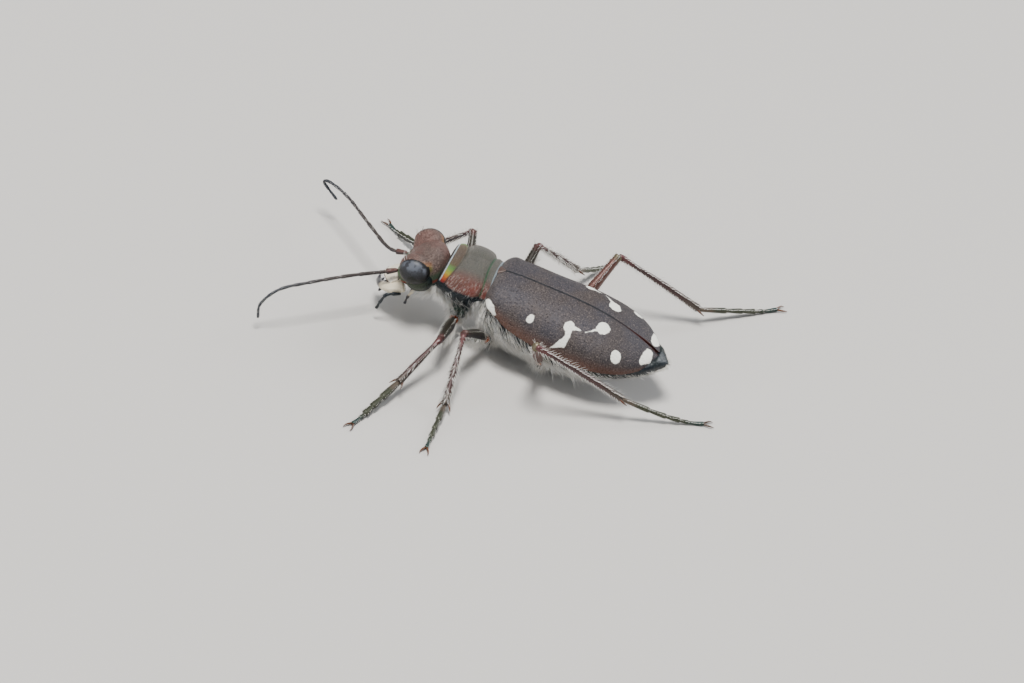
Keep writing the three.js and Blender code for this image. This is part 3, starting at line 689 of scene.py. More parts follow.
def makeWing(side, word):
    across, along = 64, 110
    u, v = np.linspace(0, 1, across + 1), np.linspace(0, 1, along + 1)
    U, V = np.meshgrid(u, v)
    outer, inner = wingSurf(side, 0.0)(U, V), wingSurf(side, wingShape["wall"])(U, V)
    steps = np.linalg.norm(np.diff(outer[..., [0, 2]], axis=1), axis=-1)
    span = np.concatenate([np.zeros((along + 1, 1)), np.cumsum(steps, axis=1)], 1)
    loop = placed(bodyFrame, np.concatenate([outer, inner[:, ::-1]], 1))
    span *= wingShape["mapStretch"][word]
    sheets = ((U, U), (V, V), (span / 10, span / 10), (outer[..., 1] / 10, outer[..., 1] / 10))
    table = np.stack([np.concatenate([a, b[:, ::-1]], 1) for a, b in sheets], -1)
    part = newPart()

    def coordAt(i, j):
        return table[np.minimum(i, along).astype(int), j.astype(int) % table.shape[1]]
    addGrid(part, loop, coordAt, strip=True)
    makeObject(part, "wing_case_" + word, [wingFinish], ["elytron_" + word],
               maps=("skinMap", "wingMap"))


trunk = newPart()
addLoft(trunk, trunkSurf, 72, 150)
makeObject(trunk, "underside", [skins["blue_black_underside"]], ["thorax", "abdomen"])
for side, word in ((1, "left"), (-1, "right")):
    makeWing(side, word)
print("trunk and wing cases made")

# the small triangle between the wing cases' bases
scutellumShape = {"front": -0.42, "tip": 0.03, "half": 0.4}


def scutellumSurf(v, a):
    s = scutellumShape
    y = s["front"] + (s["tip"] - s["front"]) * v
    half = s["half"] * (1 - v) ** 0.85 + 0.02
    top = wingShape["crest"](np.maximum(y, -0.3)) + 0.02 - 0.03 * (1 - v)
    return placed(bodyFrame,
                  np.stack([half * bend(np.cos(a), 0.7), y, top - 0.09 + 0.1 * bend(np.sin(a), 0.7)], -1))


plate = newPart()
addLoft(plate, scutellumSurf, 24, 20)
makeObject(plate, "scutellum_plate", [skins["scutellum_bronze"]], ["scutellum"])

# the prothorax, with its cross grooves, middle line and drawn-in front and rear
collarShape = {
    "front": -2.25, "rear": -0.18,
    "width": profile((0, 1.0), (0.06, 1.16), (0.3, 1.36), (0.7, 1.32), (0.88, 1.14), (1, 1.1)),
    "crest": profile((0, -0.55), (0.14, -0.42), (0.4, -0.12), (0.7, -0.02), (0.9, -0.1), (1, -0.14)),
}


def collarSurf(v, a):
    c = collarShape
    cap = np.sqrt(np.maximum(1 - (1 - np.minimum(np.minimum(v, 1 - v), 0.05) / 0.05) ** 2, 0.5))
    up = np.maximum(np.sin(a), 0)
    low = np.clip(-np.sin(a) / 0.3, 0, 1)
    # the hind corners reach back
    rear = c["rear"] * (1 - low) - 0.45 * low + 0.16 * np.cos(a) ** 2 * (1 - low)
    y = c["front"] + (rear - c["front"]) * v
    dip = 0.13 * hump(v, 0.19 + 0.06 * up, 0.055) + 0.11 * hump(v, 0.82 - 0.035 * up, 0.04)
    line = 0.04 * hump(np.cos(a), 0, 0.06) * up * hump(v, 0.52, 0.3)
    bulge = 0.03 * hump(v, 0.5, 0.28) * np.abs(np.cos(a)) * up
    middle = -1.07 + 0.12 * v
    height = np.where(np.sin(a) > 0,
                      c["crest"](v) - dip - line + bulge + 0.03 * hump(v, 0.98, 0.03) - middle,
                      middle + 1.98 + 0.35 * v)
    half = (c["width"](v) - dip * 0.8) * cap * (1 + 0.015 * hump(np.sin(a), 0.02, 0.06))
    return placed(bodyFrame,
                  np.stack([half * bend(np.cos(a), 0.86), y, middle + cap * height * bend(np.sin(a), 0.92)],
                           -1))


collar = newPart()
addLoft(collar, collarSurf, 96, 72)
makeObject(collar, "collar_plate", [plateFinish], ["pronotum"])

# the head, in its own frame
headShape = {
    "place": (0.06, -2.98, -1.5), "tilt": 40.0, "front": -1.22, "rear": 0.92,
    "width": profile((0, 0.55), (0.1, 0.78), (0.35, 0.98), (0.6, 1.02), (0.85, 0.88), (1, 0.62)),
    "top": profile((0, -0.12), (0.12, 0.14), (0.35, 0.46), (0.6, 0.64), (0.85, 0.6), (1, 0.36)),
    "bottom": profile((0, -0.6), (0.2, -0.88), (0.55, -1.08), (0.8, -1.0), (1, -0.75)),
    "eye": (1.05, -0.1, 0.2), "eyeSize": (0.51, 0.63, 0.6),
    "brow": (0.92, -0.1, 0.25), "browSize": (0.52, 0.65, 0.6), "cheek": (0.9, -0.12, -0.36),
    "cheekSize": (0.34, 0.58, 0.5),
}
headFrame = bodyFrame @ frameMatrix(headShape["place"], headShape["tilt"])


def headSurf(v, a):
    h = headShape
    cap = np.sqrt(np.maximum(1 - (1 - np.minimum(np.minimum(v, 1 - v), 0.12) / 0.12) ** 2, 0.12))
    y = h["front"] + (h["rear"] - h["front"]) * v
    up = np.maximum(np.sin(a), 0)
    hollow = 0.06 * hump(np.cos(a), 0, 0.34) * up * hump(v, 0.22, 0.14)  # the face dips between the feelers
    height = np.where(np.sin(a) > 0, h["top"](v) + 0.12 - hollow, -0.12 - h["bottom"](v))
    half = h["width"](v) * cap
    x, z = half * bend(np.cos(a), 0.8), cap * height * bend(np.sin(a), 0.9)
    # each section swells over the inner side of the eyes as a brow: how far its ray runs in the brow's round
    reach = np.hypot(x, z)
    rayX, rayZ = np.abs(x) / reach, z / reach
    (bx, by, bz), (rx, ry, rz) = h["brow"], h["browSize"]
    full = np.maximum(1 - ((y - by) / ry) ** 2, 0)
    p = rayX**2 / rx**2 + rayZ**2 / rz**2
    q = rayX * bx / rx**2 + rayZ * (bz + 0.12) / rz**2
    left = q**2 - p * (bx**2 / rx**2 + (bz + 0.12) ** 2 / rz**2 - full)
    brow = (q + np.sqrt(np.maximum(left, 0))) / p * np.clip(left / 0.4, 0, 1) ** 0.3
    merged = (reach**9 + brow**9) ** (1 / 9)
    return placed(headFrame, np.stack([x / reach * merged, y, -0.12 + z / reach * merged], -1))


def ballSurf(side, kind):  # an eye, or the cheek under it
    x, y, z = headShape[kind]

    def surf(v, a):
        ring = np.sin(math.pi * v)
        ball = np.stack([np.cos(math.pi * v) * side, ring * np.cos(a), ring * np.sin(a)], -1)
        return placed(headFrame, ball * headShape[kind + "Size"] + np.array([side * x, y, z]))
    return surf


eyeFinish = makeEyeFinish(placed(headFrame, headShape["eye"]))
skull = newPart()
addLoft(skull, headSurf, 180, 110)
for side in (1, -1):
    addLoft(skull, ballSurf(side, "cheek"), 48, 30, slot=1)
makeObject(skull, "head_skin", [headFinish, skins["green_black_cheek"]], ["head"])
for side, word in ((1, "left"), (-1, "right")):
    ball = newPart()
    addLoft(ball, ballSurf(side, "eye"), 72, 48)
    makeObject(ball, "eye_dome_" + word, [eyeFinish], ["eye_" + word])

# the upper lip: a curved plate with a blunt tooth
lipShape = {"half": 0.72, "rear": -1.16, "front": -1.86, "top": -0.2, "thick": 0.11}


def lipSide(level):
    def surf(u, v):
        s = 2 * u - 1
        teeth = 0.1 * hump(s, 0, 0.13) + 0.03 * hump(np.abs(s), 0.42, 0.1)
        front = lipShape["front"] + 0.34 * np.abs(s) ** 2.6 - teeth
        y = lipShape["rear"] + (front - lipShape["rear"]) * v
        thick = lipShape["thick"] * (1 - 0.6 * v**6) * (1 - 0.5 * s**8)
        z = lipShape["top"] - 0.2 * s**2 - 0.1 * v**2 - level * thick
        return placed(headFrame, np.stack([s * lipShape["half"] * (1 - 0.1 * (1 - v)), y, z], -1))
    return surf


u, v = np.linspace(0, 1, 41), np.linspace(0, 1, 25)
U, V = np.meshgrid(u, v)
loop = np.concatenate([lipSide(0)(U, V), lipSide(1)(U, V)[:, ::-1]], 1)
lip = newPart()
addGrid(lip, loop, lambda i, j: np.stack([(j % 82) / 82.0, v[np.minimum(i, 24).astype(int)]], -1), strip=True)
makeObject(lip, "lip_plate", [lipFinish], ["labrum"])

# the jaws: sickles with three inner teeth, the left one over the right
jawShape = {
    "root": (0.6, -1.05, -0.74), "rise": {"left": 0.08, "right": -0.34}, "teeth": (0.42, 0.55, 0.68),
    # each step from the root: outward, back and its share of the rise
    "steps": ((0.0, 0.12, 0.0), (0.14, -0.42, 0.4), (-0.02, -0.84, 1.0), (-0.42, -1.155, 1.0),
              (-0.9, -1.281, 1.0)),
    "thick": profile((0, 0.24), (0.2, 0.22), (0.6, 0.14), (1, 0.03)), "flat": 1.25,
    "toothThick": profile((0, 0.1), (1, 0.015)), "toothDark": 0.8,
}
for side, word in ((1, "left"), (-1, "right")):
    (x, y, z), rise = jawShape["root"], jawShape["rise"][word]
    route = [(side * (x + out), y + behind, z + rise * share) for out, behind, share in jawShape["steps"]]
    jawSurf = limbSurf(headFrame, route, jawShape["thick"], flat=jawShape["flat"], cap=0.05)
    jaw = newPart()
    addLoft(jaw, jawSurf, 20, 60)
    inward = turned(headFrame, (-side, 0.25, 0))
    for share in jawShape["teeth"]:
        root = jawSurf.path[int(share * 159)]
        route = [root, root + inward * 0.2, root + inward * 0.36]
        addLoft(jaw, limbSurf(np.eye(4), route, jawShape["toothThick"], cap=0.05), 10, 8)
        for block in jaw["coords"][-3:]:
            block[:, 1] = jawShape["toothDark"]
    makeObject(jaw, "jaw_" + word, [jawFinish], ["mandible_" + word])

# the palps: thin jointed mouth feelers
palpShape = {
    "maxillary": {"frame": bodyFrame, "thick": 0.085, "joints": 4,
                  "route": ((1.02, -3.2, -2.86), (1.34, -3.68, -3.0), (1.4, -3.78, -3.42),
                            (1.38, -3.8, -3.85))},
    "labial": {"frame": headFrame, "thick": 0.075, "joints": 3,
               "route": ((0.27, -0.7, -1.1), (0.32, -1.12, -1.42), (0.36, -1.35, -1.72))},
}
palpFinishes = {"maxillary": skins["blue_black_palp"], "labial": jawFinish}
for side, word in ((1, "left"), (-1, "right")):
    for kind, p in palpShape.items():
        route = [(side * q[0], q[1], q[2]) for q in p["route"]]
        joints = p["joints"]

        def palpRadius(v):
            bead = np.clip((v * joints) % 1.0001, 0, 0.85)
            return p["thick"] * (0.6 + 0.5 * bead) * (1 - 0.25 * v)
        palpSurf = limbSurf(p["frame"], route, palpRadius, cap=0.03)
        palp = newPart()
        addLoft(palp, palpSurf, 14, joints * 14)
        makeObject(palp, "palp_%s_%s_skin" % (kind, word), [palpFinishes[kind]],
                   ["palp_%s_%s" % (kind, word)])
print("head made")

# legs: hip, knee, ankle and toe in the floor's frame, from under the scutellum tip
legRoutes = {
    "front_left": ((0.52, -1.44, 0.85), (3.26, -1.35, 1.6), (5.6, -2.2, 0.6), (8.45, -3.1, 0.14)),
    "mid_left": ((0.82, 0.13, 0.6), (3.13, -0.5, 2.12), (5.6, -0.15, 0.32), (8.3, 0.0, 0.14)),
    "hind_left": ((1.15, 2.45, 0.6), (3.73, 2.54, 3.23), (2.19, 6.2, 1.04), (0.65, 9.45, 0.14)),
    "front_right": ((-0.52, -1.44, 0.85), (-2.85, -2.15, 2.65), (-3.2, -3.85, 0.75), (-4.75, -5.9, 0.14)),
    "mid_right": ((-0.82, 0.13, 0.6), (-3.0, 0.53, 2.95), (-5.1, 2.04, 0.9), (-7.3, 2.9, 0.14)),
    "hind_right": ((-1.15, 2.45, 0.6), (-4.04, 3.67, 3.04), (-5.64, 7.17, 0.67), (-8.2, 9.9, 0.14)),
}
legLook = {
    "coxa": profile((0, 0.36), (0.4, 0.38), (0.75, 0.27), (1, 0.19)),
    "trochanter": profile((0, 0.16), (0.5, 0.19), (1, 0.15)),
    "femur": profile((0, 0.15), (0.12, 0.2), (0.35, 0.265), (0.75, 0.215), (0.93, 0.19), (1, 0.2)),
    "tibia": profile((0, 0.11), (0.06, 0.135), (0.12, 0.115), (0.5, 0.13), (0.9, 0.155), (1, 0.17)),
    "spur": profile((0, 0.05), (0.6, 0.035), (1, 0.008)),
    "claw": profile((0, 0.045), (0.5, 0.035), (1, 0.008)),
    "clawSteps": ((0.16, 0.14, 0), (0.3, 0.17, 0.02), (0.38, 0.15, 0.055)),  # ahead, aside and down
    "foot": 0.125, "frontMale": 0.16,
}


def footSurf(name, ankle, toe, start):
    flatZ = 0.13
    near = ankle + (toe - ankle) * 0.45 + np.array([0, 0, -0.3 * max(ankle[2] - 0.35, 0)])
    near[2] = max(near[2], flatZ + 0.04)
    late = ankle + (toe - ankle) * 0.8
    late[2], end = 0.115, toe * 1.0
    end[2] = 0.1
    ends = np.cumsum((0, 0.36, 0.2, 0.16, 0.1, 0.18))  # the first of the five segments is the longest
    wide = legLook["frontMale"] if name.startswith("front") else legLook["foot"]

    def radiusAt(v):
        n = np.clip(np.searchsorted(ends, v, side="right") - 1, 0, 4)
        t = (v - ends[n]) / (ends[n + 1] - ends[n])
        bell = 0.62 + 0.38 * np.clip(t, 0, 1) ** 0.8 - 0.3 * np.clip((t - 0.93) / 0.07, 0, 1)
        return np.where(n < 3, wide, 0.105) * bell * (1 - 0.18 * v)
    return limbSurf(floorFrame, [start, near, late, end], radiusAt, flat=1.15, cap=0.025), end, late


legSurfs = {}
for name, joints in legRoutes.items():
    hip, knee, ankle, toe = (np.array(p) for p in joints)
    sign = math.copysign(1, hip[0])
    root = hip + np.array([-sign * 0.1, 0.12, 0.75])
    route = [root, root + (hip - root) * 0.55, hip, towards(hip, knee, 0.24)]
    hipSurf = limbSurf(floorFrame, route, legLook["coxa"], cap=0.12, up=(0, 1, 0))
    route = [towards(hip, knee, reach) for reach in (0.1, 0.34, 0.58)]
    knotSurf = limbSurf(floorFrame, route, legLook["trochanter"], cap=0.3)
    hipPart = newPart()
    addLoft(hipPart, hipSurf, 36, 40)
    addLoft(hipPart, knotSurf, 28, 18, slot=1)
    makeObject(hipPart, "hip_" + name, [skins["green_black_hip"], skins["orange_trochanter"]],
               ["coxa_" + name])

    bow = (towards(hip, knee, 0.5) + knee) / 2 + np.array([0, 0, 0.05])
    route = [towards(hip, knee, 0.5), bow, towards(knee, hip, -0.05)]
    thighSurf = limbSurf(floorFrame, route, legLook["femur"], flat=0.86, cap=0.03)
    bow = (knee + ankle) / 2 + np.array([0, 0, 0.03])
    route = [towards(knee, ankle, -0.04), bow, towards(ankle, knee, 0.02)]
    shinSurf = limbSurf(floorFrame, route, legLook["tibia"], cap=0.025)
    thigh, shin = newPart(), newPart()
    addLoft(thigh, thighSurf, 36, 70)
    addLoft(shin, shinSurf, 28, 80)
    way = (ankle - knee) / np.linalg.norm(ankle - knee)
    over = np.cross(way, (0, 0, 1))
    over /= np.linalg.norm(over)
    for turn in (1, -1):
        base = ankle - way * 0.2 + over * turn * 0.09
        route = [base, base + way * 0.2 + over * turn * 0.12, base + way * 0.42 + over * turn * 0.2]
        spur = limbSurf(floorFrame, route, legLook["spur"], cap=0.05)
        addLoft(shin, spur, 12, 16, slot=1)
    makeObject(thigh, "thigh_" + name, [thighFinishes[name.split("_")[0]]], ["femur_" + name])
    makeObject(shin, "shin_" + name, [limbs["purple_shin"], skins["horn_claw"]], ["tibia_" + name])

    treadSurf, end, late = footSurf(name, ankle, toe, towards(ankle, toe, -0.05))
    foot = newPart()
    addLoft(foot, treadSurf, 26, 110)
    out = (end - late) * (1, 1, 0)
    out /= np.linalg.norm(out)
    over = np.array([-out[1], out[0], 0])
    for turn in (1, -1):
        base = end - out * 0.06 + over * turn * 0.03
        route = [base] + [end + out * ahead + over * turn * aside - (0, 0, drop)
                          for ahead, aside, drop in legLook["clawSteps"]]
        claw = limbSurf(floorFrame, route, legLook["claw"], cap=0.05)
        addLoft(foot, claw, 12, 20, slot=1)
    makeObject(foot, "foot_" + name, [limbs["green_foot"], skins["horn_claw"]], ["tarsus_" + name])
    legSurfs[name] = {"hip": hipSurf, "thigh": thighSurf, "shin": shinSurf, "foot": treadSurf}
print("legs made")

# feelers of eleven segments, routed as steps from the root in the body's frame
feelerLook = {
    "left": ((0.18, -0.45, -0.29), (1.28, -1.59, -0.48), (2.58, -2.85, -0.77), (3.48, -3.73, -1.09),
             (3.88, -4.12, -1.87), (3.98, -3.94, -2.53)),
    "right": ((-0.18, -0.78, -0.37), (-1.08, -1.82, -0.59), (-2.38, -3.2, -0.87), (-3.18, -4.13, -1.25),
              (-3.38, -4.42, -1.55), (-3.28, -3.6, -1.95)),
    "ends": np.cumsum((0, 0.075, 0.04, 0.135, 0.12, 0.11, 0.1, 0.09, 0.09, 0.08, 0.08, 0.08)),
}
feelerSurfs = {}
for side, word in ((1, "left"), (-1, "right")):
    root = placed(np.linalg.inv(bodyFrame) @ headFrame, (side * 0.62, -1.0, 0.02))
    ends = feelerLook["ends"]

    def feelerRadius(v):
        n = np.clip(np.searchsorted(ends, v, side="right") - 1, 0, 10)
        t = np.clip((v - ends[n]) / (ends[n + 1] - ends[n]), 0, 1)
        thick = np.where(n == 0, 0.105 + 0.02 * t, np.where(n == 1, 0.08, 0.088 - 0.026 * v))
        return thick * (0.74 + 0.3 * t**0.7 - 0.35 * np.clip((t - 0.94) / 0.06, 0, 1))
    feelerSurfs[word] = limbSurf(bodyFrame, [root] + [root + np.array(s) for s in feelerLook[word]],
                                 feelerRadius, cap=0.02)
    rod = newPart()
    addLoft(rod, feelerSurfs[word], 16, 240)
    makeObject(rod, "feeler_" + word, [limbs["feeler"]], ["antenna_" + word])
print("feelers made")


# bristles: roots on a skin, each grown into a bent cone by one node group
def makeBristleGroup():
    tree = bpy.data.node_groups.new("bristleCoat", "GeometryNodeTree")
    for label, kind in (("Roots", "Geometry"), ("Bend", "Float"), ("Patch", "Float"),
                        ("Material", "Material")):
        tree.interface.new_socket(name=label, in_out="INPUT", socket_type="NodeSocket" + kind)
    tree.interface.new_socket(name="Coat", in_out="OUTPUT", socket_type="NodeSocketGeometry")
    takes, gives = tree.nodes.new("NodeGroupInput").outputs, tree.nodes.new("NodeGroupOutput").inputs

    def add(kind, inputs, **settings):  # one node with its inputs filled, as its outputs
        node = tree.nodes.new(kind)
        for label, value in settings.items():
            setattr(node, label, value)
        for socket, value in inputs.items():
            fill(tree, node.inputs[socket], value)
        return node.outputs

    def read(label, kind="FLOAT_VECTOR"):
        return add("GeometryNodeInputNamedAttribute", {0: label}, data_type=kind)[0]

    def store(mesh, label, value, kind, domain):
        inputs = {"Geometry": mesh, "Name": label, "Value": value}
        return add("GeometryNodeStoreNamedAttribute", inputs, data_type=kind, domain=domain)[0]

    cone = add("GeometryNodeMeshCone", bristleLook["cone"], fill_type="TRIANGLE_FAN")
    shaft = store(cone["Mesh"], "localMap", cone["UV Map"], "FLOAT2", "CORNER")
    height = add("ShaderNodeSeparateXYZ", {0: add("GeometryNodeInputPosition", {})[0]})[2]
    shaft = store(shaft, "rise", height, "FLOAT", "POINT")

    girth, reach = read("girth", "FLOAT"), read("reach", "FLOAT")
    turn = add("FunctionNodeAxesToRotation", {0: read("aim"), 1: read("lean")}, primary_axis="Z",
               secondary_axis="X")[0]
    size = add("ShaderNodeCombineXYZ", {0: girth, 1: girth, 2: reach})[0]
    grown = add("GeometryNodeInstanceOnPoints",
                {"Points": takes["Roots"], "Instance": shaft, "Rotation": turn, "Scale": size})[0]
    real = add("GeometryNodeRealizeInstances", {0: grown})[0]

    # each tip bends over along the bristle's own lean
    rise = read("rise", "FLOAT")
    most = sums(tree, "MULTIPLY", reach, takes["Bend"])
    arc = sums(tree, "MULTIPLY", sums(tree, "MULTIPLY", rise, rise), most)
    bent = add("GeometryNodeSetPosition", {"Geometry": real, "Offset": scaled(tree, read("lean"), arc)})[0]
    place = vectors(tree, "ADD", scaled(tree, read("localMap"), takes["Patch"]), read("rootPlace"))
    smooth = add("GeometryNodeSetShadeSmooth", {0: store(bent, "OFBake", place, "FLOAT2", "CORNER")})[0]
    painted = add("GeometryNodeSetMaterial", {"Geometry": smooth, "Material": takes["Material"]})[0]
    tree.links.new(painted, gives[0])
    return tree


bristleGroup = makeBristleGroup()


def rootsOn(surf, count, vRange, aRange, flow, lift, reach, girth, tile, evenly=False):
    # flow is the way the tips lie over the skin, lift how far they stand up from it
    look = bristleLook
    v, a = draw.uniform(*vRange, count), np.radians(draw.uniform(*aRange, count))
    if evenly:  # a comb along the limb
        v = np.linspace(*vRange, count) + draw.normal(0, 0.12 / count, count)
    p = surf(v, a)
    e = 1e-3
    normal = np.cross(surf(v, a + e) - surf(v, a - e), surf(v + e, a) - surf(v - e, a))
    normal /= np.maximum(np.linalg.norm(normal, axis=1)[:, None], 1e-12)
    inside = surf(v, a + math.pi)  # the far side of the ring shows which way is out
    normal *= np.sign(np.einsum("ij,ij->i", normal, p - inside))[:, None]
    flow = np.asarray(flow, float) + draw.normal(0, look["ruffle"], (count, 3))
    flat = flow - normal * np.einsum("ij,ij->i", flow, normal)[:, None]
    flat /= np.maximum(np.linalg.norm(flat, axis=1)[:, None], 1e-9)
    aim = flat + normal * lift * draw.uniform(*look["liftSpread"], (count, 1))
    aim /= np.linalg.norm(aim, axis=1)[:, None]
    place = np.stack([(v + tile % 8) / 8.1, ((a / (2 * math.pi)) % 1 + tile // 8) / 8.1], 1)
    rows = {"p": p - normal * look["rootDepth"], "aim": aim, "lean": flat,
            "reach": draw.uniform(*reach, count),
            "girth": girth * draw.uniform(*look["girthSpread"], count), "place": place}
    tips = p + (aim + flat * look["bend"]) * rows["reach"][:, None]
    clear = tips[:, 2] > look["overFloor"]  # none reaches into the floor
    return {label: value[clear] for label, value in rows.items()}


def growCoat(name, batches):
    merged = {label: np.concatenate([b[label] for b in batches]) for label in batches[0]}
    merged["rootPlace"] = np.pad(merged["place"], ((0, 0), (0, 1)))
    roots = bpy.data.meshes.new(name + "_roots")
    roots.from_pydata((merged["p"] * mm).tolist(), [], [])
    for labels, kind, field, unit in ((("aim", "lean", "rootPlace"), "FLOAT_VECTOR", "vector", 1.0),
                                      (("reach", "girth"), "FLOAT", "value", mm)):
        for label in labels:
            values = (merged[label] * unit).astype(np.float32).ravel()
            roots.attributes.new(label, kind, "POINT").data.foreach_set(field, values)
    carrier = addThing(name + "_roots", roots)
    grow = carrier.modifiers.new("grow", "NODES")
    grow.node_group = bristleGroup
    inputs = {"Bend": bristleLook["bend"], "Patch": bristleLook["patch"], "Material": bristleFinish}
    for item in bristleGroup.interface.items_tree:
        if item.in_out == "INPUT" and item.name in inputs:
            grow[item.identifier] = inputs[item.name]
    depsgraph = bpy.context.evaluated_depsgraph_get()
    mesh = bpy.data.meshes.new_from_object(carrier.evaluated_get(depsgraph), depsgraph=depsgraph)
    carrier.modifiers.remove(grow)
    bpy.data.objects.remove(carrier)
    mesh.name = name
    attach(addThing(name, mesh), "root")
    mesh.calc_loop_triangles()
    print(name, "bristles", len(merged["p"]), "triangles", len(mesh.loop_triangles),
          [u.name for u in mesh.uv_layers])


back = turned(bodyFrame, (0, 1, 0))
down = np.array([0, 0.35, -1.0])

# The body's patches of bristles: the skin, how many, where along it, where around it in degrees from the side
# line, the way the tips lie, their spread to the side, their lift, their length, their radius and their tile.
bodyCoat = {
    "chest": (trunkSurf, 1050, (0.08, 0.6), (-70, 4),
              back * 0.7 + down * 0.8, 0.6, 0.5, (0.35, 0.7), 0.012, 0),
    "belly": (trunkSurf, 420, (0.5, 0.93), (-70, 0),
              back + down * 0.4, 0.18, 0.35, (0.18, 0.34), 0.01, 2),
    "shoulder": (trunkSurf, 170, (0.02, 0.12), (-70, -5),
                 down - back * 0.5, 0.6, 0.5, (0.3, 0.5), 0.012, 18),
    "tail": (trunkSurf, 40, (0.93, 0.985), (-60, 60),
             back, 0.0, 0.5, (0.1, 0.2), 0.009, 14),
    "throat": (collarSurf, 300, (0.02, 0.45), (-88, -50),
               down - back * 0.4, 0.6, 0.7, (0.35, 0.75), 0.013, 4),
    "breast": (collarSurf, 90, (0.45, 0.95), (-88, -60),
               down, 0.6, 0.5, (0.25, 0.5), 0.011, 16),
    "lowFlank": (collarSurf, 36, (0.1, 0.95), (-48, -12),
                 down, 0.6, 0.4, (0.15, 0.3), 0.009, 12),
    "collarSide": (collarSurf, 150, (0.2, 0.95), (0, 42),
                   turned(bodyFrame, (0, -0.5, -2.6)), 0.6, 0.22, (0.12, 0.22), 0.004, 6),
    "cheek": (headSurf, 240, (0.45, 0.98), (-85, -36),
              down - back * 0.5, 0.6, 0.7, (0.3, 0.65), 0.015, 8),
    "brow": (headSurf, 9, (0.3, 0.46), (50, 68),
             turned(bodyFrame, (0, -0.8, 1)), 0.0, 1.4, (0.24, 0.36), 0.012, 10),
}
batches = []
for n, side in enumerate((1, -1)):
    for surf, count, along, (low, high), flow, outward, lift, reach, girth, tile in bodyCoat.values():
        around = (low, high) if side > 0 else (180 - high, 180 - low)
        flow = flow + np.array([side * outward, 0, 0])
        batches.append(rootsOn(surf, count, along, around, flow, lift, reach, girth, tile + n))
growCoat("body_bristles", batches)

# Leg bristles. "loose" has how many for each pair of legs, where along and around the piece, how far they
# hang down, their lift, length and radius. "combs" has rows, bristles per millimetre, lift and length.
legCoat = {
    "loose": {
        "hip": ({"front": 300, "mid": 300, "hind": 300},
                (0.15, 0.95), (0, 360), 0.0, 0.6, (0.25, 0.5), 0.011),
        "thigh": ({"front": 420, "mid": 420}, (0.05, 0.8), (190, 350), 1.0, 0.7, (0.25, 0.5), 0.01),
        "shin": ({"front": 40, "mid": 190}, (0.1, 0.96), (0, 360), 0.3, 0.8, (0.16, 0.3), 0.012),
    },
    "combs": {
        "thigh": (5, 7, 1.1, (0.14, 0.26)), "shin": (5, 7, 1.3, (0.16, 0.27)),
        "foot": (4, 8, 1.0, (0.07, 0.13)),
    },
    "combAlong": (0.06, 0.97), "combStart": 54, "combHalf": 4, "combGirth": 0.015,
}


def wayAlong(surf):
    way = surf.path[-1] - surf.path[0]
    return way / np.linalg.norm(way)


batches = []
for n, (name, surfs) in enumerate(legSurfs.items()):
    pair = name.split("_")[0]
    for m, (piece, (counts, along, around, hang, lift, reach, girth)) in enumerate(legCoat["loose"].items()):
        surf = surfs[piece]
        flow = surf.path[-1] - surf.path[0] if piece == "hip" else wayAlong(surf) + down * hang
        if pair in counts:
            batches.append(rootsOn(surf, counts[pair], along, around, flow, lift, reach, girth, n * 4 + m))
    for m, (piece, (rows, perMm, lift, reach)) in enumerate(legCoat["combs"].items()):
        surf = surfs[piece]
        for row in range(rows):
            at = 360 / rows * row + legCoat["combStart"]
            around = (at - legCoat["combHalf"], at + legCoat["combHalf"])
            count = int(perMm * surf.length)
            batches.append(rootsOn(surf, count, legCoat["combAlong"], around, wayAlong(surf), lift, reach,
                                   legCoat["combGirth"], n * 4 + 1 + m, evenly=True))
growCoat("leg_bristles", batches)

# a feeler's fine down and its longer hairs: how many, where along, lift, length and radius
feelerCoat = {"down": (700, (0.3, 0.99), 0.5, (0.04, 0.07), 0.005),
              "hairs": (50, (0.14, 0.9), 1.2, (0.1, 0.16), 0.007)}
batches = []
for n, surf in enumerate(feelerSurfs.values()):
    for count, along, lift, reach, girth in feelerCoat.values():
        batches.append(rootsOn(surf, count, along, (0, 360), wayAlong(surf), lift, reach, girth, n))
growCoat("feeler_bristles", batches)
print("bristles grown")

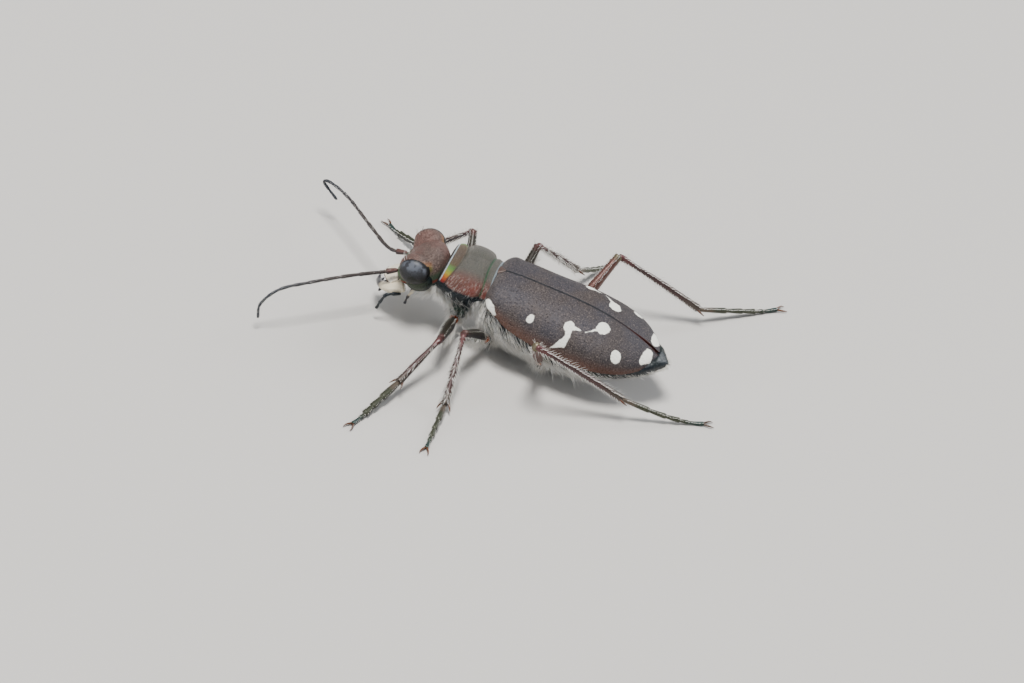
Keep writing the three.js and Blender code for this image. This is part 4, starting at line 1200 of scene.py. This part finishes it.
# floor, lights and camera, in metres; the camera's own places are in millimetres
floorLook = {"half": 0.35, "colour": (0.62, 0.6, 0.57), "cloud": 0.97, "cloudScale": 60.0, "roughness": 0.8}
lightLook = {
    "key_light": {"place": (0.04, -0.02, 0.3), "size": 0.1, "power": 1.35, "colour": (1.0, 0.98, 0.95)},
    "front_fill": {"place": (0.25, -0.2, 0.12), "size": 0.2, "power": 0.35, "colour": (0.92, 0.96, 1.0)},
    "back_rim": {"place": (-0.22, 0.16, 0.16), "size": 0.16, "power": 0.5, "colour": (0.95, 0.97, 1.0)},
}
skyLook = {"colour": (0.8, 0.85, 0.92), "strength": 0.3}
camLook = {"turn": 29.3, "rise": 38.0, "lens": 400.0, "sensor": 36.0, "away": 455.1, "right": 0.24,
           "up": -2.86}

floorMesh = bpy.data.meshes.new("studio_floor")
h = floorLook["half"]
floorMesh.from_pydata([(-h, -h, 0), (h, -h, 0), (h, h, 0), (-h, h, 0)], [], [(0, 1, 2, 3)])
floorFinish, tree, shader, coords = newMaterial("pale_floor", floorLook["roughness"], 0.0)
clouds = noise(tree, coords, floorLook["cloudScale"])
shade = [c * floorLook["cloud"] for c in floorLook["colour"]]
fill(tree, shader.inputs["Base Color"], blendColours(tree, clouds, floorLook["colour"], shade))
floorMesh.materials.append(floorFinish)
addThing("studio_floor", floorMesh)

for name, look in lightLook.items():
    lamp = bpy.data.lights.new(name, "AREA")
    lamp.shape, lamp.size, lamp.energy, lamp.color = "DISK", look["size"], look["power"], look["colour"]
    thing = addThing(name, lamp)
    thing.location = look["place"]
    thing.rotation_euler = (Vector((0, 0, 0.002)) - Vector(look["place"])).to_track_quat("-Z", "Y").to_euler()

world = bpy.data.worlds.new("studio")
world.use_nodes = True
sky = world.node_tree.nodes["Background"].inputs
sky[0].default_value, sky[1].default_value = (*skyLook["colour"], 1), skyLook["strength"]
bpy.context.scene.world = world

rise, turn = math.radians(camLook["rise"]), math.radians(camLook["turn"])
s, c, sr, cr = math.sin(rise), math.cos(rise), math.sin(turn), math.cos(turn)
toCamera, right, upward = (turned(bodyFrame, w)
                           for w in ((c, 0, s), (-sr * s, cr, sr * c), (-cr * s, -sr, cr * c)))
spot = bodyFrame[:3, 3] + toCamera * camLook["away"] + right * camLook["right"] + upward * camLook["up"]
lensData = bpy.data.cameras.new("view")
lensData.lens, lensData.sensor_width = camLook["lens"], camLook["sensor"]
lensData.clip_start, lensData.clip_end = 0.01, 10.0
camera = addThing("view", lensData)
axes = np.stack([right, upward, toCamera], 1).tolist()
camera.matrix_world = Matrix([[*row, p * mm] for row, p in zip(axes, spot)] + [[0, 0, 0, 1]])
bpy.context.scene.camera = camera
